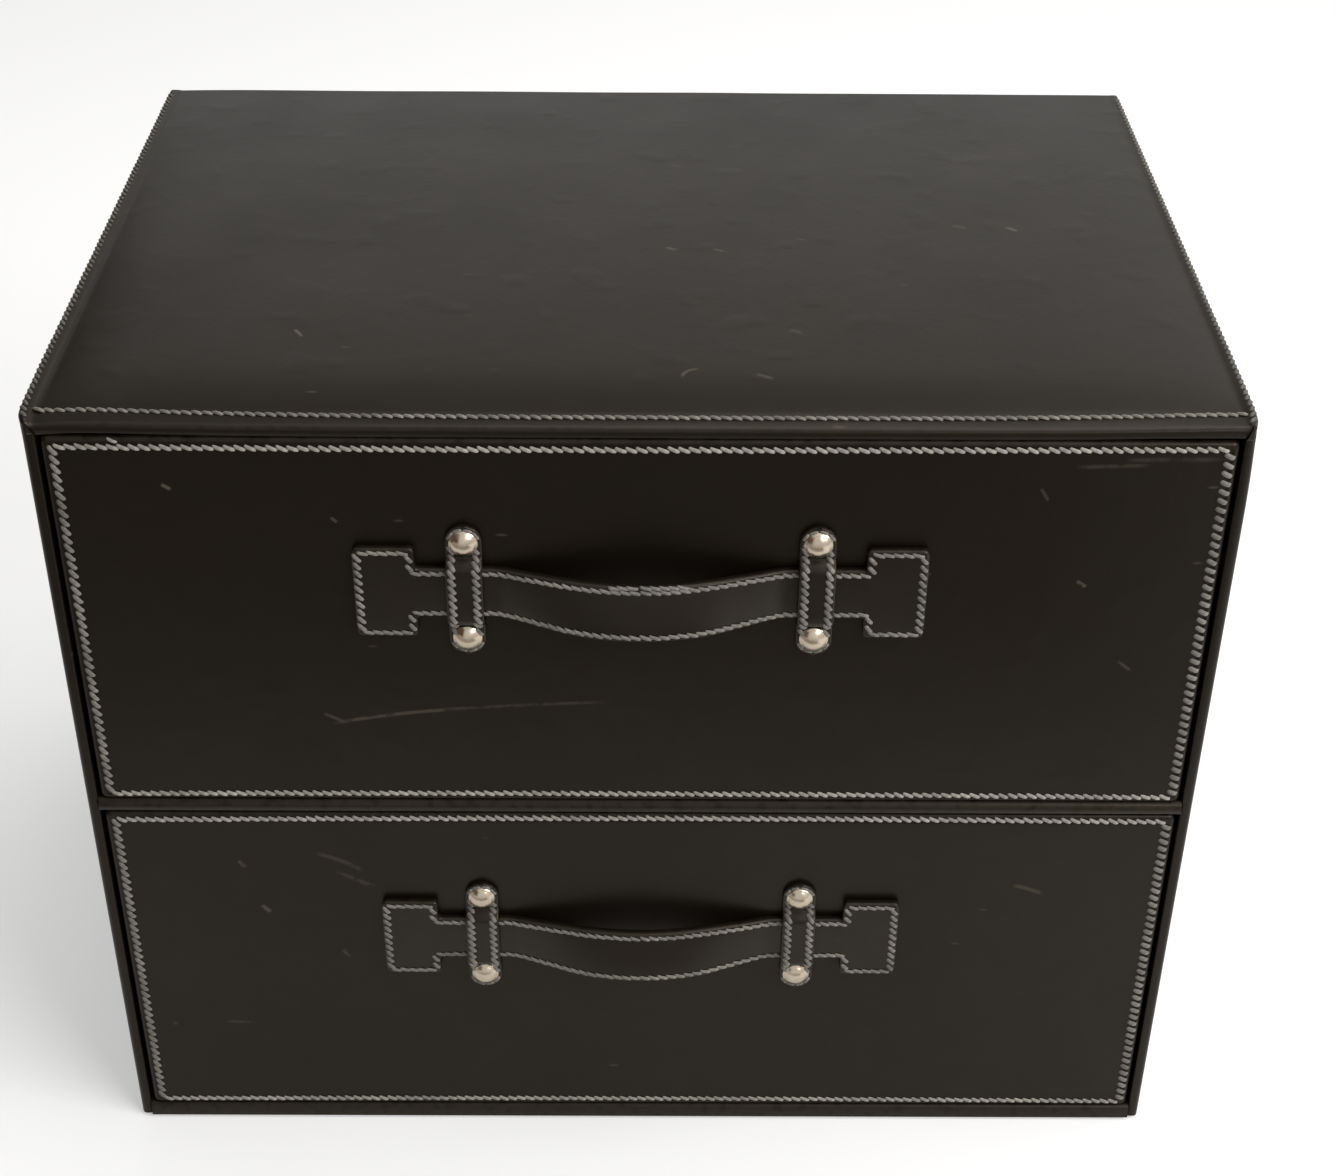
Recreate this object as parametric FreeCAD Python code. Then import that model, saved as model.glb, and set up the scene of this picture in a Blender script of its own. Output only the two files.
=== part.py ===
"""Two-drawer storage box for papers and keepsakes, covered in dark leather-look sheet.

Units are millimetres. The origin is the middle of the underside, on the floor.
X runs to the right, the drawers open towards -Y and Z is up.
"""
import FreeCAD, Part
import math
import os

Vector = FreeCAD.Vector

# Outside of the case
CASE_WIDTH = 360.0
CASE_DEPTH = 250.0
CASE_HEIGHT = 290.0
CASE_EDGE_RADIUS = 1.8

# Boards and sheets
SIDE_BOARD = 2.2
TOP_BOARD = 3.6
BASE_BOARD = 3.8
BACK_BOARD = 3.0
SHELF_BOARD = 2.0
COVER = 0.8
COVER_TURN_IN = 14.0
SHELF_EDGE_RADIUS = 1.2
BASE_FELT = 1.0
BASE_FELT_INSET = 2.0
BACK_COVER_INSET = 3.0

# Drawers
FRONT_SIDE_GAP = 1.0
FRONT_TOP_GAP = 1.2
FRONT_BOTTOM_GAP = 0.6
FRONT_BOARD = 4.0
FRONT_EDGE_RADIUS = 1.4
FRONT_TURN_IN = 12.0
DRAWER_BOARD = 2.4
DRAWER_BOTTOM = 2.4
DRAWER_BACK_GAP = 2.0
DRAWER_WALL_DROP = 8.0
LINING = 1.2
LINING_DROP = 1.0

# Handle
HANDLE_ABOVE_MIDDLE = 15.5
STRAP_THICKNESS = 2.8
STRAP_WIDTH = 17.4
STRAP_SLIP = 0.2
STRAP_END_TRAVEL = 9.0
STRAP_STOP_GAP = 0.3
TAB_LENGTH = 18.6
TAB_HEIGHT = 32.0
TAB_CORNER_RADIUS = 1.6
GRIP_RISE = 11.0
GRIP_TRAVEL = 16.0
GRIP_FLANK = 19.0
GRIP_BEND_RADIUS = 14.0
GRIP_FLAT_MARGIN = 0.4
GRIP_KEEPER_CLEARANCE = 0.2

# Keepers and rivets
KEEPER_SPACING = 106.4
KEEPER_WIDTH = 11.2
KEEPER_THICKNESS = 1.8
KEEPER_TOP_CLEARANCE = 0.3
KEEPER_SIDE_CLEARANCE = 0.4
KEEPER_RAMP = 2.2
KEEPER_BEND_INSIDE = 0.4
KEEPER_END_MARGIN = 0.6
RIVET_HEAD_RADIUS = 4.6
RIVET_HEAD_RISE = 2.4
RIVET_HEAD_CLEARANCE = 0.3
RIVET_SHANK_RADIUS = 1.6
RIVET_HOLE_CLEARANCE = 0.1

# How far a cutter reaches past what it cuts
CUT = 30.0

# Levels and planes that follow from the sizes above
half_width = CASE_WIDTH / 2
front_y = -CASE_DEPTH / 2
back_y = CASE_DEPTH / 2
board_x = half_width - COVER
inner_x = board_x - SIDE_BOARD
mouth_x = inner_x - COVER
board_front_y = front_y + COVER
board_back_y = back_y - COVER
inner_back_y = board_back_y - BACK_BOARD
turn_in_y = board_front_y + COVER_TURN_IN
base_top_z = BASE_FELT + BASE_BOARD
lower_floor_z = base_top_z + COVER
shelf_thickness = SHELF_BOARD + 2 * COVER
core_top_z = CASE_HEIGHT - COVER
top_under_z = core_top_z - TOP_BOARD
mouth_top_z = top_under_z - COVER
bay_height = (mouth_top_z - lower_floor_z - shelf_thickness) / 2
shelf_z = lower_floor_z + bay_height
upper_floor_z = shelf_z + shelf_thickness

front_half_width = mouth_x - FRONT_SIDE_GAP
front_board_y = front_y + COVER
front_board_back_y = front_board_y + FRONT_BOARD
front_back_y = front_board_back_y + COVER
front_height = bay_height - FRONT_TOP_GAP - FRONT_BOTTOM_GAP
drawer_half_width = front_half_width - COVER
drawer_back_y = inner_back_y - DRAWER_BACK_GAP

strap_outer = STRAP_SLIP + STRAP_THICKNESS
strap_half = STRAP_WIDTH / 2
keeper_x = KEEPER_SPACING / 2
keeper_half = KEEPER_WIDTH / 2
keeper_inner_edge = keeper_x - keeper_half
keeper_outer_edge = keeper_x + keeper_half
seam_x = keeper_inner_edge - GRIP_KEEPER_CLEARANCE
scarf_run = STRAP_THICKNESS * STRAP_END_TRAVEL / GRIP_TRAVEL
shoulder_x = keeper_outer_edge + STRAP_END_TRAVEL + STRAP_STOP_GAP
tab_end_x = shoulder_x + TAB_LENGTH

tunnel_height = strap_outer + KEEPER_TOP_CLEARANCE
tunnel_half = strap_half + KEEPER_SIDE_CLEARANCE
ramp_angle = math.atan2(tunnel_height, KEEPER_RAMP)
ramp_shift = KEEPER_THICKNESS * math.tan(ramp_angle / 2)
foot_start = tunnel_half + KEEPER_RAMP + ramp_shift
rivet_offset = foot_start + RIVET_HEAD_CLEARANCE + RIVET_HEAD_RADIUS
foot_centre = rivet_offset + KEEPER_END_MARGIN
foot_end = foot_centre + keeper_half
rivet_hole_radius = RIVET_SHANK_RADIUS + RIVET_HOLE_CLEARANCE


def block(x0, x1, y0, y1, z0, z1):
    return Part.makeBox(x1 - x0, y1 - y0, z1 - z0, Vector(x0, y0, z0))


def rounded(shape, radius, midpoints):
    """Round the edges whose middles are listed."""
    picked = []
    for edge in shape.Edges:
        if any(edge.CenterOfMass.distanceToPoint(point) < 0.01 for point in midpoints):
            picked.append(edge)
    return shape.makeFillet(radius, picked)


def rounded_case(x, y0, y1, z0, z1, radius):
    """A block with its two side top edges, front top edge and front uprights rounded."""
    y_mid = (y0 + y1) / 2
    z_mid = (z0 + z1) / 2
    edges = [
        Vector(-x, y_mid, z1),
        Vector(x, y_mid, z1),
        Vector(0, y0, z1),
        Vector(-x, y0, z_mid),
        Vector(x, y0, z_mid),
    ]
    return rounded(block(-x, x, y0, y1, z0, z1), radius, edges)


def rounded_front(x, y0, y1, z0, z1, radius):
    """A block with the four edges of its front face rounded."""
    z_mid = (z0 + z1) / 2
    edges = [Vector(0, y0, z0), Vector(0, y0, z1), Vector(-x, y0, z_mid), Vector(x, y0, z_mid)]
    return rounded(block(-x, x, y0, y1, z0, z1), radius, edges)


def band(corners, radii, thickness):
    """Closed outline of a strip of even thickness along lines joined by bends.

    The corners are (u, v) points of the middle line. Each inner corner has the radius of its bend.
    """
    count = len(corners)
    lines = []
    bends = []
    start = corners[0]
    for i in range(1, count):
        end = corners[i]
        if i < count - 1:
            back = direction(corners[i], corners[i - 1])
            ahead = direction(corners[i], corners[i + 1])
            turn = math.pi - math.acos(back[0] * ahead[0] + back[1] * ahead[1])
            reach = radii[i - 1] * math.tan(turn / 2)
            end = (corners[i][0] + back[0] * reach, corners[i][1] + back[1] * reach)
            after = (corners[i][0] + ahead[0] * reach, corners[i][1] + ahead[1] * reach)
            middle = (back[0] + ahead[0], back[1] + ahead[1])
            size = math.hypot(middle[0], middle[1])
            depth = radii[i - 1] / math.cos(turn / 2)
            centre = (corners[i][0] + middle[0] / size * depth, corners[i][1] + middle[1] / size * depth)
            bends.append((centre, corners[i], radii[i - 1]))
        lines.append((start, end))
        if i < count - 1:
            start = after
    sides = []
    for shift in (thickness / 2, -thickness / 2):
        edges = []
        for i, (first, last) in enumerate(lines):
            edges.append(("line", offset(first, first, last, shift), offset(last, first, last, shift)))
            if i < len(bends):
                centre, corner, radius = bends[i]
                begin = offset(last, first, last, shift)
                finish = offset(lines[i + 1][0], lines[i + 1][0], lines[i + 1][1], shift)
                reach = math.hypot(begin[0] - centre[0], begin[1] - centre[1])
                toward = direction(centre, corner)
                through = (centre[0] + toward[0] * reach, centre[1] + toward[1] * reach)
                edges.append(("arc", begin, through, finish))
        sides.append(edges)
    return sides


def direction(start, end):
    size = math.hypot(end[0] - start[0], end[1] - start[1])
    return ((end[0] - start[0]) / size, (end[1] - start[1]) / size)


def offset(point, first, last, shift):
    along = direction(first, last)
    return (point[0] - along[1] * shift, point[1] + along[0] * shift)


def band_face(corners, radii, thickness, place):
    """Face of a strip outline, each (u, v) point set in space by place."""
    upper, lower = band(corners, radii, thickness)
    edges = []
    for side in (upper, lower):
        for edge in side:
            points = [place(point) for point in edge[1:]]
            if edge[0] == "line":
                edges.append(Part.makeLine(points[0], points[1]))
            else:
                edges.append(Part.Arc(points[0], points[1], points[2]).toShape())
    for end in (0, -1):
        first = upper[end][1 if end == 0 else -1]
        last = lower[end][1 if end == 0 else -1]
        edges.append(Part.makeLine(place(first), place(last)))
    wire = Part.Wire(Part.__sortEdges__(edges))
    return Part.Face(wire)


def plate(points, y, depth):
    """A plate from its (x, z) outline, reaching from y towards the front by depth."""
    corners = [Vector(x, y, z) for x, z in points]
    face = Part.Face(Part.makePolygon(corners + corners[:1]))
    return face.extrude(Vector(0, -depth, 0))


def mirrored(shape):
    return shape.mirror(Vector(0, 0, 0), Vector(1, 0, 0))


def out(distance):
    """The y of a plane that stands a distance in front of the drawer front."""
    return front_y - distance


def case_nodes():
    core = block(-board_x, board_x, board_front_y, board_back_y, BASE_FELT, core_top_z)
    outside = rounded_case(half_width, front_y, board_back_y, BASE_FELT, CASE_HEIGHT, CASE_EDGE_RADIUS)
    mouth = block(-mouth_x, mouth_x, front_y - CUT, turn_in_y + CUT, -CUT, mouth_top_z)
    turn_in = block(-inner_x, inner_x, board_front_y, turn_in_y, base_top_z, top_under_z)
    outer_cover = outside.cut(core).cut(mouth).fuse(turn_in.cut(mouth)).removeSplitter()

    right_board = block(inner_x, board_x, board_front_y, board_back_y, base_top_z, top_under_z)

    base_strip = block(-mouth_x, mouth_x, front_y, board_front_y, BASE_FELT, lower_floor_z)
    base_sheet = block(-inner_x, inner_x, board_front_y, inner_back_y, base_top_z, lower_floor_z)
    base_cover = base_strip.fuse(base_sheet.cut(outer_cover)).removeSplitter()
    base_cover = rounded(base_cover, SHELF_EDGE_RADIUS, [Vector(0, front_y, lower_floor_z)])

    shelf_board = block(
        -inner_x, inner_x, board_front_y, inner_back_y, shelf_z + COVER, upper_floor_z - COVER
    ).cut(outer_cover)
    shelf_front = block(-mouth_x, mouth_x, front_y, turn_in_y, shelf_z, upper_floor_z)
    shelf_rear = block(-inner_x, inner_x, turn_in_y, inner_back_y, shelf_z, upper_floor_z)
    shelf_whole = rounded(
        shelf_front.fuse(shelf_rear).removeSplitter(),
        SHELF_EDGE_RADIUS,
        [Vector(0, front_y, shelf_z), Vector(0, front_y, upper_floor_z)],
    )
    shelf_cover = shelf_whole.cut(shelf_board)

    felt_x = half_width - BASE_FELT_INSET
    felt_y = back_y - BASE_FELT_INSET
    sheet_x = half_width - BACK_COVER_INSET
    return {
        "base_felt": block(-felt_x, felt_x, -felt_y, felt_y, 0, BASE_FELT),
        "base_board": block(-board_x, board_x, board_front_y, board_back_y, BASE_FELT, base_top_z),
        "base_cover": base_cover,
        "left_side_board": mirrored(right_board),
        "right_side_board": right_board,
        "top_board": block(-board_x, board_x, board_front_y, board_back_y, top_under_z, core_top_z),
        "back_board": block(-inner_x, inner_x, inner_back_y, board_back_y, base_top_z, top_under_z),
        "shelf_board": shelf_board,
        "shelf_cover": shelf_cover,
        "outer_cover": outer_cover,
        "back_cover": block(
            -sheet_x, sheet_x, board_back_y, back_y, BASE_FELT, CASE_HEIGHT - BACK_COVER_INSET
        ),
    }


def drawer_box(floor):
    front_z = floor + FRONT_BOTTOM_GAP
    front_top = front_z + front_height
    wall_top = front_top - DRAWER_WALL_DROP
    wall_z = floor + DRAWER_BOTTOM
    board_half = front_half_width - COVER
    wall_x = drawer_half_width - DRAWER_BOARD
    rear_y = drawer_back_y - DRAWER_BOARD

    front_board = block(
        -board_half, board_half, front_board_y, front_board_back_y, front_z + COVER, front_top - COVER
    )
    outside = rounded_front(
        front_half_width, front_y, front_back_y, front_z, front_top, FRONT_EDGE_RADIUS
    )
    window_x = board_half - FRONT_TURN_IN
    window = block(
        -window_x,
        window_x,
        front_board_back_y - COVER,
        front_back_y + CUT,
        front_z + COVER + FRONT_TURN_IN,
        front_top - COVER - FRONT_TURN_IN,
    )
    front_cover = outside.cut(front_board).cut(window).cut(rivet_holes(floor))

    lining_top = wall_top - LINING_DROP
    lining = block(-wall_x, wall_x, front_back_y, rear_y, wall_z, lining_top)
    hollow_x = wall_x - LINING
    hollow = block(
        -hollow_x, hollow_x, front_back_y + LINING, rear_y - LINING, wall_z + LINING, lining_top
    )
    right_side = block(wall_x, drawer_half_width, front_back_y, drawer_back_y, wall_z, wall_top)
    return {
        "front_board": front_board,
        "front_cover": front_cover,
        "left_side": mirrored(right_side),
        "right_side": right_side,
        "drawer_back": block(-wall_x, wall_x, rear_y, drawer_back_y, wall_z, wall_top),
        "drawer_bottom": block(
            -drawer_half_width, drawer_half_width, front_back_y, drawer_back_y, floor, wall_z
        ),
        "drawer_lining": lining.cut(hollow),
    }


def handle_z(floor):
    return floor + FRONT_BOTTOM_GAP + front_height / 2 + HANDLE_ABOVE_MIDDLE


def rivets_at(floor, shape):
    """The shape, drawn about the front face, at the four rivet places of one handle."""
    placed = []
    for x in (-keeper_x, keeper_x):
        for z in (-rivet_offset, rivet_offset):
            copy = shape.copy()
            copy.translate(Vector(x, front_y, handle_z(floor) + z))
            placed.append(copy)
    return Part.makeCompound(placed)


def rivet_holes(floor):
    drill = Part.makeCylinder(rivet_hole_radius, 2 * CUT, Vector(0, CUT, 0), Vector(0, -1, 0))
    return rivets_at(floor, drill)


def rivet():
    """Domed head and shank, turned about the line through the front face and clinched behind the cover."""
    crown = KEEPER_THICKNESS + RIVET_HEAD_RISE
    tail = front_y - front_board_y
    sphere = (RIVET_HEAD_RADIUS ** 2 + RIVET_HEAD_RISE ** 2) / (2 * RIVET_HEAD_RISE)
    half = RIVET_HEAD_RADIUS / 2
    between = crown - sphere + math.sqrt(sphere ** 2 - half ** 2)
    outline = [
        Vector(0, -crown, 0),
        Vector(0, -tail, 0),
        Vector(RIVET_SHANK_RADIUS, -tail, 0),
        Vector(RIVET_SHANK_RADIUS, -KEEPER_THICKNESS, 0),
        Vector(RIVET_HEAD_RADIUS, -KEEPER_THICKNESS, 0),
    ]
    edges = [Part.makeLine(first, last) for first, last in zip(outline, outline[1:])]
    edges.append(Part.Arc(outline[-1], Vector(half, -between, 0), outline[0]).toShape())
    face = Part.Face(Part.Wire(edges))
    return face.revolve(Vector(0, 0, 0), Vector(0, 1, 0), 360)


def keeper(middle):
    """The right keeper: a leather strip with two flat feet, bent up into a bridge over the strap."""
    half = KEEPER_THICKNESS / 2
    bridge = tunnel_height + half
    lean = half * math.tan(ramp_angle / 2)
    top = tunnel_half + lean
    low = top + KEEPER_RAMP
    right = [(top, bridge), (low, half), (foot_end, half)]
    left = [(-u, v) for u, v in reversed(right)]
    start_x = keeper_x - keeper_half

    def place(point):
        return Vector(start_x, out(point[1]), middle + point[0])

    bends = [KEEPER_BEND_INSIDE + half] * 4
    strip = band_face(left + right, bends, KEEPER_THICKNESS, place).extrude(Vector(KEEPER_WIDTH, 0, 0))
    outline = block(
        start_x, start_x + KEEPER_WIDTH, out(CUT), out(-CUT), middle - foot_centre, middle + foot_centre
    )
    for z in (-foot_centre, foot_centre):
        base = Vector(keeper_x, out(-CUT), middle + z)
        outline = outline.fuse(Part.makeCylinder(keeper_half, 2 * CUT, base, Vector(0, -1, 0)))
    return strip.common(outline)


def strap_end(middle):
    """The right end of the strap: a tab that cannot pass the keeper and a neck that runs under it."""
    tab_half = TAB_HEIGHT / 2
    outline = [
        (seam_x - scarf_run, middle - strap_half),
        (shoulder_x, middle - strap_half),
        (shoulder_x, middle - tab_half),
        (tab_end_x, middle - tab_half),
        (tab_end_x, middle + tab_half),
        (shoulder_x, middle + tab_half),
        (shoulder_x, middle + strap_half),
        (seam_x - scarf_run, middle + strap_half),
    ]
    shape = plate(outline, out(STRAP_SLIP), STRAP_THICKNESS)
    y_mid = out(STRAP_SLIP + STRAP_THICKNESS / 2)
    corners = [Vector(tab_end_x, y_mid, middle - tab_half), Vector(tab_end_x, y_mid, middle + tab_half)]
    return rounded(shape, TAB_CORNER_RADIUS, corners).cut(scarf(middle))


def scarf(middle):
    """All that lies on the grip's side of the sloping seam with the right end of the strap."""
    slope = STRAP_END_TRAVEL / GRIP_TRAVEL
    shift = CUT * slope
    low = middle - STRAP_WIDTH
    front = strap_outer + CUT
    rear = strap_outer - CUT
    corners = [
        Vector(seam_x + shift, out(front), low),
        Vector(seam_x - shift, out(rear), low),
        Vector(-seam_x, out(rear), low),
        Vector(-seam_x, out(front), low),
    ]
    face = Part.Face(Part.makePolygon(corners + corners[:1]))
    return face.extrude(Vector(0, 0, 2 * STRAP_WIDTH))


def grip_bow():
    """Half span, slope and crown radius of the grip, from its rise and the straight flank beside each bend."""
    flat_end = seam_x - scarf_run - GRIP_FLAT_MARGIN
    low = 0.0
    high = math.pi / 3
    for _ in range(50):
        slope = (low + high) / 2
        span = flat_end - GRIP_BEND_RADIUS * math.tan(slope / 2)
        crown_half = span - GRIP_FLANK * math.cos(slope)
        rise = GRIP_FLANK * math.sin(slope) + crown_half * math.tan(slope / 2)
        if rise < GRIP_RISE:
            low = slope
        else:
            high = slope
    return span, slope, crown_half / math.sin(slope)


def grip(middle):
    """The free middle of the strap, bowed out from the drawer front."""
    span, slope, crown_radius = grip_bow()
    line = STRAP_SLIP + STRAP_THICKNESS / 2
    peak = line + span * math.tan(slope)
    end = keeper_x
    corners = [(-end, line), (-span, line), (0, peak), (span, line), (end, line)]

    def place(point):
        return Vector(point[0], out(point[1]), middle - strap_half)

    bends = [GRIP_BEND_RADIUS, crown_radius, GRIP_BEND_RADIUS]
    bow = band_face(corners, bends, STRAP_THICKNESS, place).extrude(Vector(0, 0, STRAP_WIDTH))
    return bow.common(scarf(middle)).common(mirrored(scarf(middle)))


def handle_nodes(floor):
    middle = handle_z(floor)
    right_end = strap_end(middle)
    right_keeper = keeper(middle).cut(rivet_holes(floor))
    return {
        "handle_grip": grip(middle),
        "handle_left_end": mirrored(right_end),
        "handle_right_end": right_end,
        "left_keeper": mirrored(right_keeper),
        "right_keeper": right_keeper,
        "handle_rivets": rivets_at(floor, rivet()),
    }


nodes = case_nodes()
for drawer, floor_z in (("upper", upper_floor_z), ("lower", lower_floor_z)):
    pieces = drawer_box(floor_z)
    pieces.update(handle_nodes(floor_z))
    for piece, solid in pieces.items():
        nodes[drawer + "_" + piece] = solid

os.makedirs("parts", exist_ok=True)
for node, solid in nodes.items():
    solid.exportStep("parts/" + node + ".step")
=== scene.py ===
"""Two-drawer storage box covered in dark plated leather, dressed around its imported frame.

Shapes are drawn in millimetres in the frame of the part: X to the right, drawers open towards -Y, Z up.
"""

import bmesh
import bpy
import math
import random
from functools import partial
from mathutils import Matrix, Vector, noise


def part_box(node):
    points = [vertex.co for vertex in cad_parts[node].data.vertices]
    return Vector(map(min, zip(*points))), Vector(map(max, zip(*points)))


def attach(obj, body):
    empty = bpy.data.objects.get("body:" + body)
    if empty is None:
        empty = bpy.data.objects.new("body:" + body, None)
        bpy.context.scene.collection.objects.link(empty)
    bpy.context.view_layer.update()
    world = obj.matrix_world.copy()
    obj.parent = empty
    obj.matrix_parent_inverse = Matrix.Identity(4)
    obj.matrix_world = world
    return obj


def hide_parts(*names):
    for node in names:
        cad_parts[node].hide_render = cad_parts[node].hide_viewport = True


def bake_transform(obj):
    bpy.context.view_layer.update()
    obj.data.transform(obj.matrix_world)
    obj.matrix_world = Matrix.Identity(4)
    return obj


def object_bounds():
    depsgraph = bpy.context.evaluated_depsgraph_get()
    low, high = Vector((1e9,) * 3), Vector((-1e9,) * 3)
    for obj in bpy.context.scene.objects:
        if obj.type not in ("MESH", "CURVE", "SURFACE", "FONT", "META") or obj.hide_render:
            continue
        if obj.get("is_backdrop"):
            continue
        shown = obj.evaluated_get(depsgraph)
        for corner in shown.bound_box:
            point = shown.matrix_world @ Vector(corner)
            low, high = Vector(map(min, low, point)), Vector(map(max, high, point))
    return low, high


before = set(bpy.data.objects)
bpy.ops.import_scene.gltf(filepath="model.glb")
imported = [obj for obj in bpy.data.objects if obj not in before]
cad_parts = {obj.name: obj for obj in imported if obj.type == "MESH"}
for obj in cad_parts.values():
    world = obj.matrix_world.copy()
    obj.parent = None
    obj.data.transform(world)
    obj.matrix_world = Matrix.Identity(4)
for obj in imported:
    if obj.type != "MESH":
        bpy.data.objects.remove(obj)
cad_low, cad_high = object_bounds()

MM = 0.001
hand = random.Random(11)

# Picture frame and the camera that fits it: pixels, millimetres, degrees
IMAGE_WIDTH = 1336
FOCAL_PIXELS = 2236.2
SENSOR = 36.0
EYE = (4.18, -686.8, 614.16)
YAW = 0.416
PITCH = 34.258
ROLL = 0.499

# Case
CASE_HALF = 180.0
CASE_DEPTH = 250.0
CASE_TOP = 290.0
CASE_ARRIS = 1.5
MOUTH_HALF = 176.2
# The mouth is narrower than the room behind it; the covers widen between these places
WITHIN_MOUTH = (-118, -112)
BEHIND_MOUTH = -108
BOARD_ROUND = 2.6
BASE_ROUND = 1.2
BASE_FELT_CORNER = 4.0

# Leather over the boards; pairs are for the left side (-1) and the right side (1)
COVER = 0.8
BACK_LEATHER = 0.6
TOP_CROWN = 0.5
TOP_DROP = 3.05
TOP_DROP_REACH = 36.0
LIP_OUTSIDE = 1.7
LIP_INSIDE = 0.8
LIP_SIDE_THICK = 3.8
LIP_TOP_THICK = 5.2
LIP_SAG = 0.8
LIP_SAG_REACH = 14.0
EDGE_ROLL = {-1: 2.2, 1: 0.8}
EDGE_ROLL_REACH = 34.0
# Share of the roll that is gone at the back
EDGE_ROLL_FADE = 0.85
EDGE_RIDGE_WIDTH = 2.5
EDGE_FLARE = {-1: 1.5, 1: 0.5}
EDGE_FLARE_REACH = 32.0
MOUTH_CORNER = 1.6
MOUTH_CORNER_REACH = 3.5
FRONT_ROUND = 1.8
FRONT_CORNER = 2.4
FRONT_TURN_IN = 12.8
FRONT_THICK = 5.6
FRONT_SOFT = 16.0
# Slow unevenness of leather laid by hand: its size across, and its height on each face
RIPPLE = 42.0
TOP_RIPPLE = 0.1
SIDE_RIPPLE = 0.12
BACK_RIPPLE = 0.08
FRONT_RIPPLE = 0.1

# Felt lining of a drawer
LINING = 1.2
LINING_ROUND = 4.0

# Sewing; each hand is the lean of a stitch to its row, the length of the stitch and the radius of the thread
STITCH = 3.1
SEAM_INSET = 2.5
SEAM_INSET_SIDE = {-1: 3.6, 1: 2.9}
SEAM_SINK = 0.14
SEAM_GROOVE = 0.16
SEAM_GROOVE_WIDTH = 0.7
# The top row of a drawer starts lower at the left
SEAM_DIP = 0.8
# How far the level rows of a drawer wander upwards in their middle: top row, bottom row
SEAM_BOW = {"upper": (-0.6, 0.7), "lower": (1.0, 0.7)}
CASE_SEAM_INSET = 5.2
CASE_SEAM_SWING = {-1: 2.4, 1: 2.2}
CASE_SEAM_END = 2.5
CASE_SEAM_SINK = 0.25
CASE_SEAM_HALF = 178
CASE_GROOVE = 0.25
CASE_GROOVE_WIDTH = 0.9
ARRIS_SEAM_PLACE = 74
ARRIS_SEAM_SINK = 0.3
LEVEL_HAND = (-22, 4.1, 0.62)
LEFT_HAND = (36, 4.2, 0.74)
RIGHT_HAND = (64, 3.7, 0.8)
CASE_HAND = (-17, 4.0, 0.58)
ARRIS_HAND = (30, 3.6, 0.6)
STRAP_LEVEL_HAND = (-15, 4.0, 0.56)
STRAP_UPRIGHT_HAND = (42, 3.6, 0.66)
KEEPER_HAND = (34, 3.8, 0.72)
KEEPER_END_HAND = (0, 3.3, 0.6)
TAIL_HAND = (0, 3.4, 0.5)
STRAP_STITCH = 2.9
KEEPER_STITCH = 2.7
# How uneven the sewing is: lean in degrees, drift across the row, share of the length
UNEVEN_LEAN = 4
UNEVEN_DRIFT = 0.08
UNEVEN_LENGTH = (0.95, 1.05)
# Rows start this far from a corner
SEAM_TRIM = 0.6
STRAP_SEAM_TRIM = 0.4
# Places along a stitch and its thickness there
STITCH_STATIONS = [(-1.0, 0.5), (-0.84, 0.84), (-0.42, 1.0), (0.42, 1.0), (0.84, 0.84), (1.0, 0.5)]
STITCH_SIDES = 8

# Strap handle: the bow of the grip is a crown arc, a straight flank and a bend back to the drawer front
STRAP_THICKNESS = 2.8
STRAP_HALF = 8.7
STRAP_MID_OUT = 1.6
GRIP_RISE = 11.0
CROWN_RADIUS = 72.9
BEND_RADIUS = 14.0
FLANK_SLOPE = 0.35152
FLANK_LENGTH = 16.51
STRAP_FLAT = 45.425
TAB_HALF = 16.0
TAB_START = 68.1
TAB_END = 86.7
STRAP_SEAM_INSET = 1.55
# How each grip hangs: share of the full rise, lean of its face upwards and droop of its middle
GRIP_HANG = {"upper": (1.0, 1.8, 0.2), "lower": (0.86, 2.2, 0.0)}

# Keepers and rivets
KEEPER_X = 53.2
KEEPER_THICKNESS = 1.8
KEEPER_PATH = [(-23.2, 0.9), (-11.78, 0.9), (-9.58, 4.2), (9.58, 4.2), (11.78, 0.9), (23.2, 0.9)]
KEEPER_END_CENTRE = 17.76
KEEPER_END_RADIUS = 5.6
KEEPER_SEAM = 3.65
KEEPER_END_SEAM = 4.8
RIVET_Z = 17.16
RIVET_RADIUS = 4.6
RIVET_RISE = 2.4
RIVET_SHANK = 1.6
RIVET_SIDES = 40

# Stage, in metres and watts: each light is its place, its aim, its size and its power
FLOOR_HALF = 6.0
FLOOR_LEVEL = -0.0003
FLOOR_LIFT = 0.365
ROOM_LIGHT = 0.34
LIGHTS = [
    ("window", (0.95, -0.8, 1.05), (0, 0, 0.12), (1.1, 0.34), 16.5),
    ("ceiling", (0.54, 0.25, 1.8), (0, 0, 0.1), (1.5, 1.5), 21.0),
]
# Plain cards that only the sheen of leather and metal mirrors: before the box, left of it, a darker brown one for the
# rivets, and one overhead behind it
CARDS = [
    ("front_card", [(-1.2, -1.1, 0.002), (0.5, -1.1, 0.002), (0.24, -0.36, 0.002), (-1.2, -0.36, 0.002)], "#b4ada4"),
    ("left_card", [(-1.2, -0.7, 0.0), (-1.2, 3.2, 0.0), (-1.2, 3.2, 2.0), (-1.2, -0.7, 2.0)], "#57534d"),
    ("dark_card", [(-1.5, -0.72, 0.2), (-0.36, -0.72, 0.2), (-0.36, -0.72, 1.1), (-1.5, -0.72, 1.1)], "#6a5344"),
    ("roof_card", [(-1.2, 0.8, 1.7), (0.9, 0.8, 1.7), (0.9, 2.3, 1.7), (-1.2, 2.5, 1.55)], "#b6b1a9"),
]

# The handles reach this far in front of the drawer fronts
HANDLE_REACH = 14.0
front_y = cad_low.y / MM + HANDLE_REACH
UP = (0, 0, 1)
OUT = (0, -1, 0)
SIDE_WORD = {-1: "left", 1: "right"}


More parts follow.
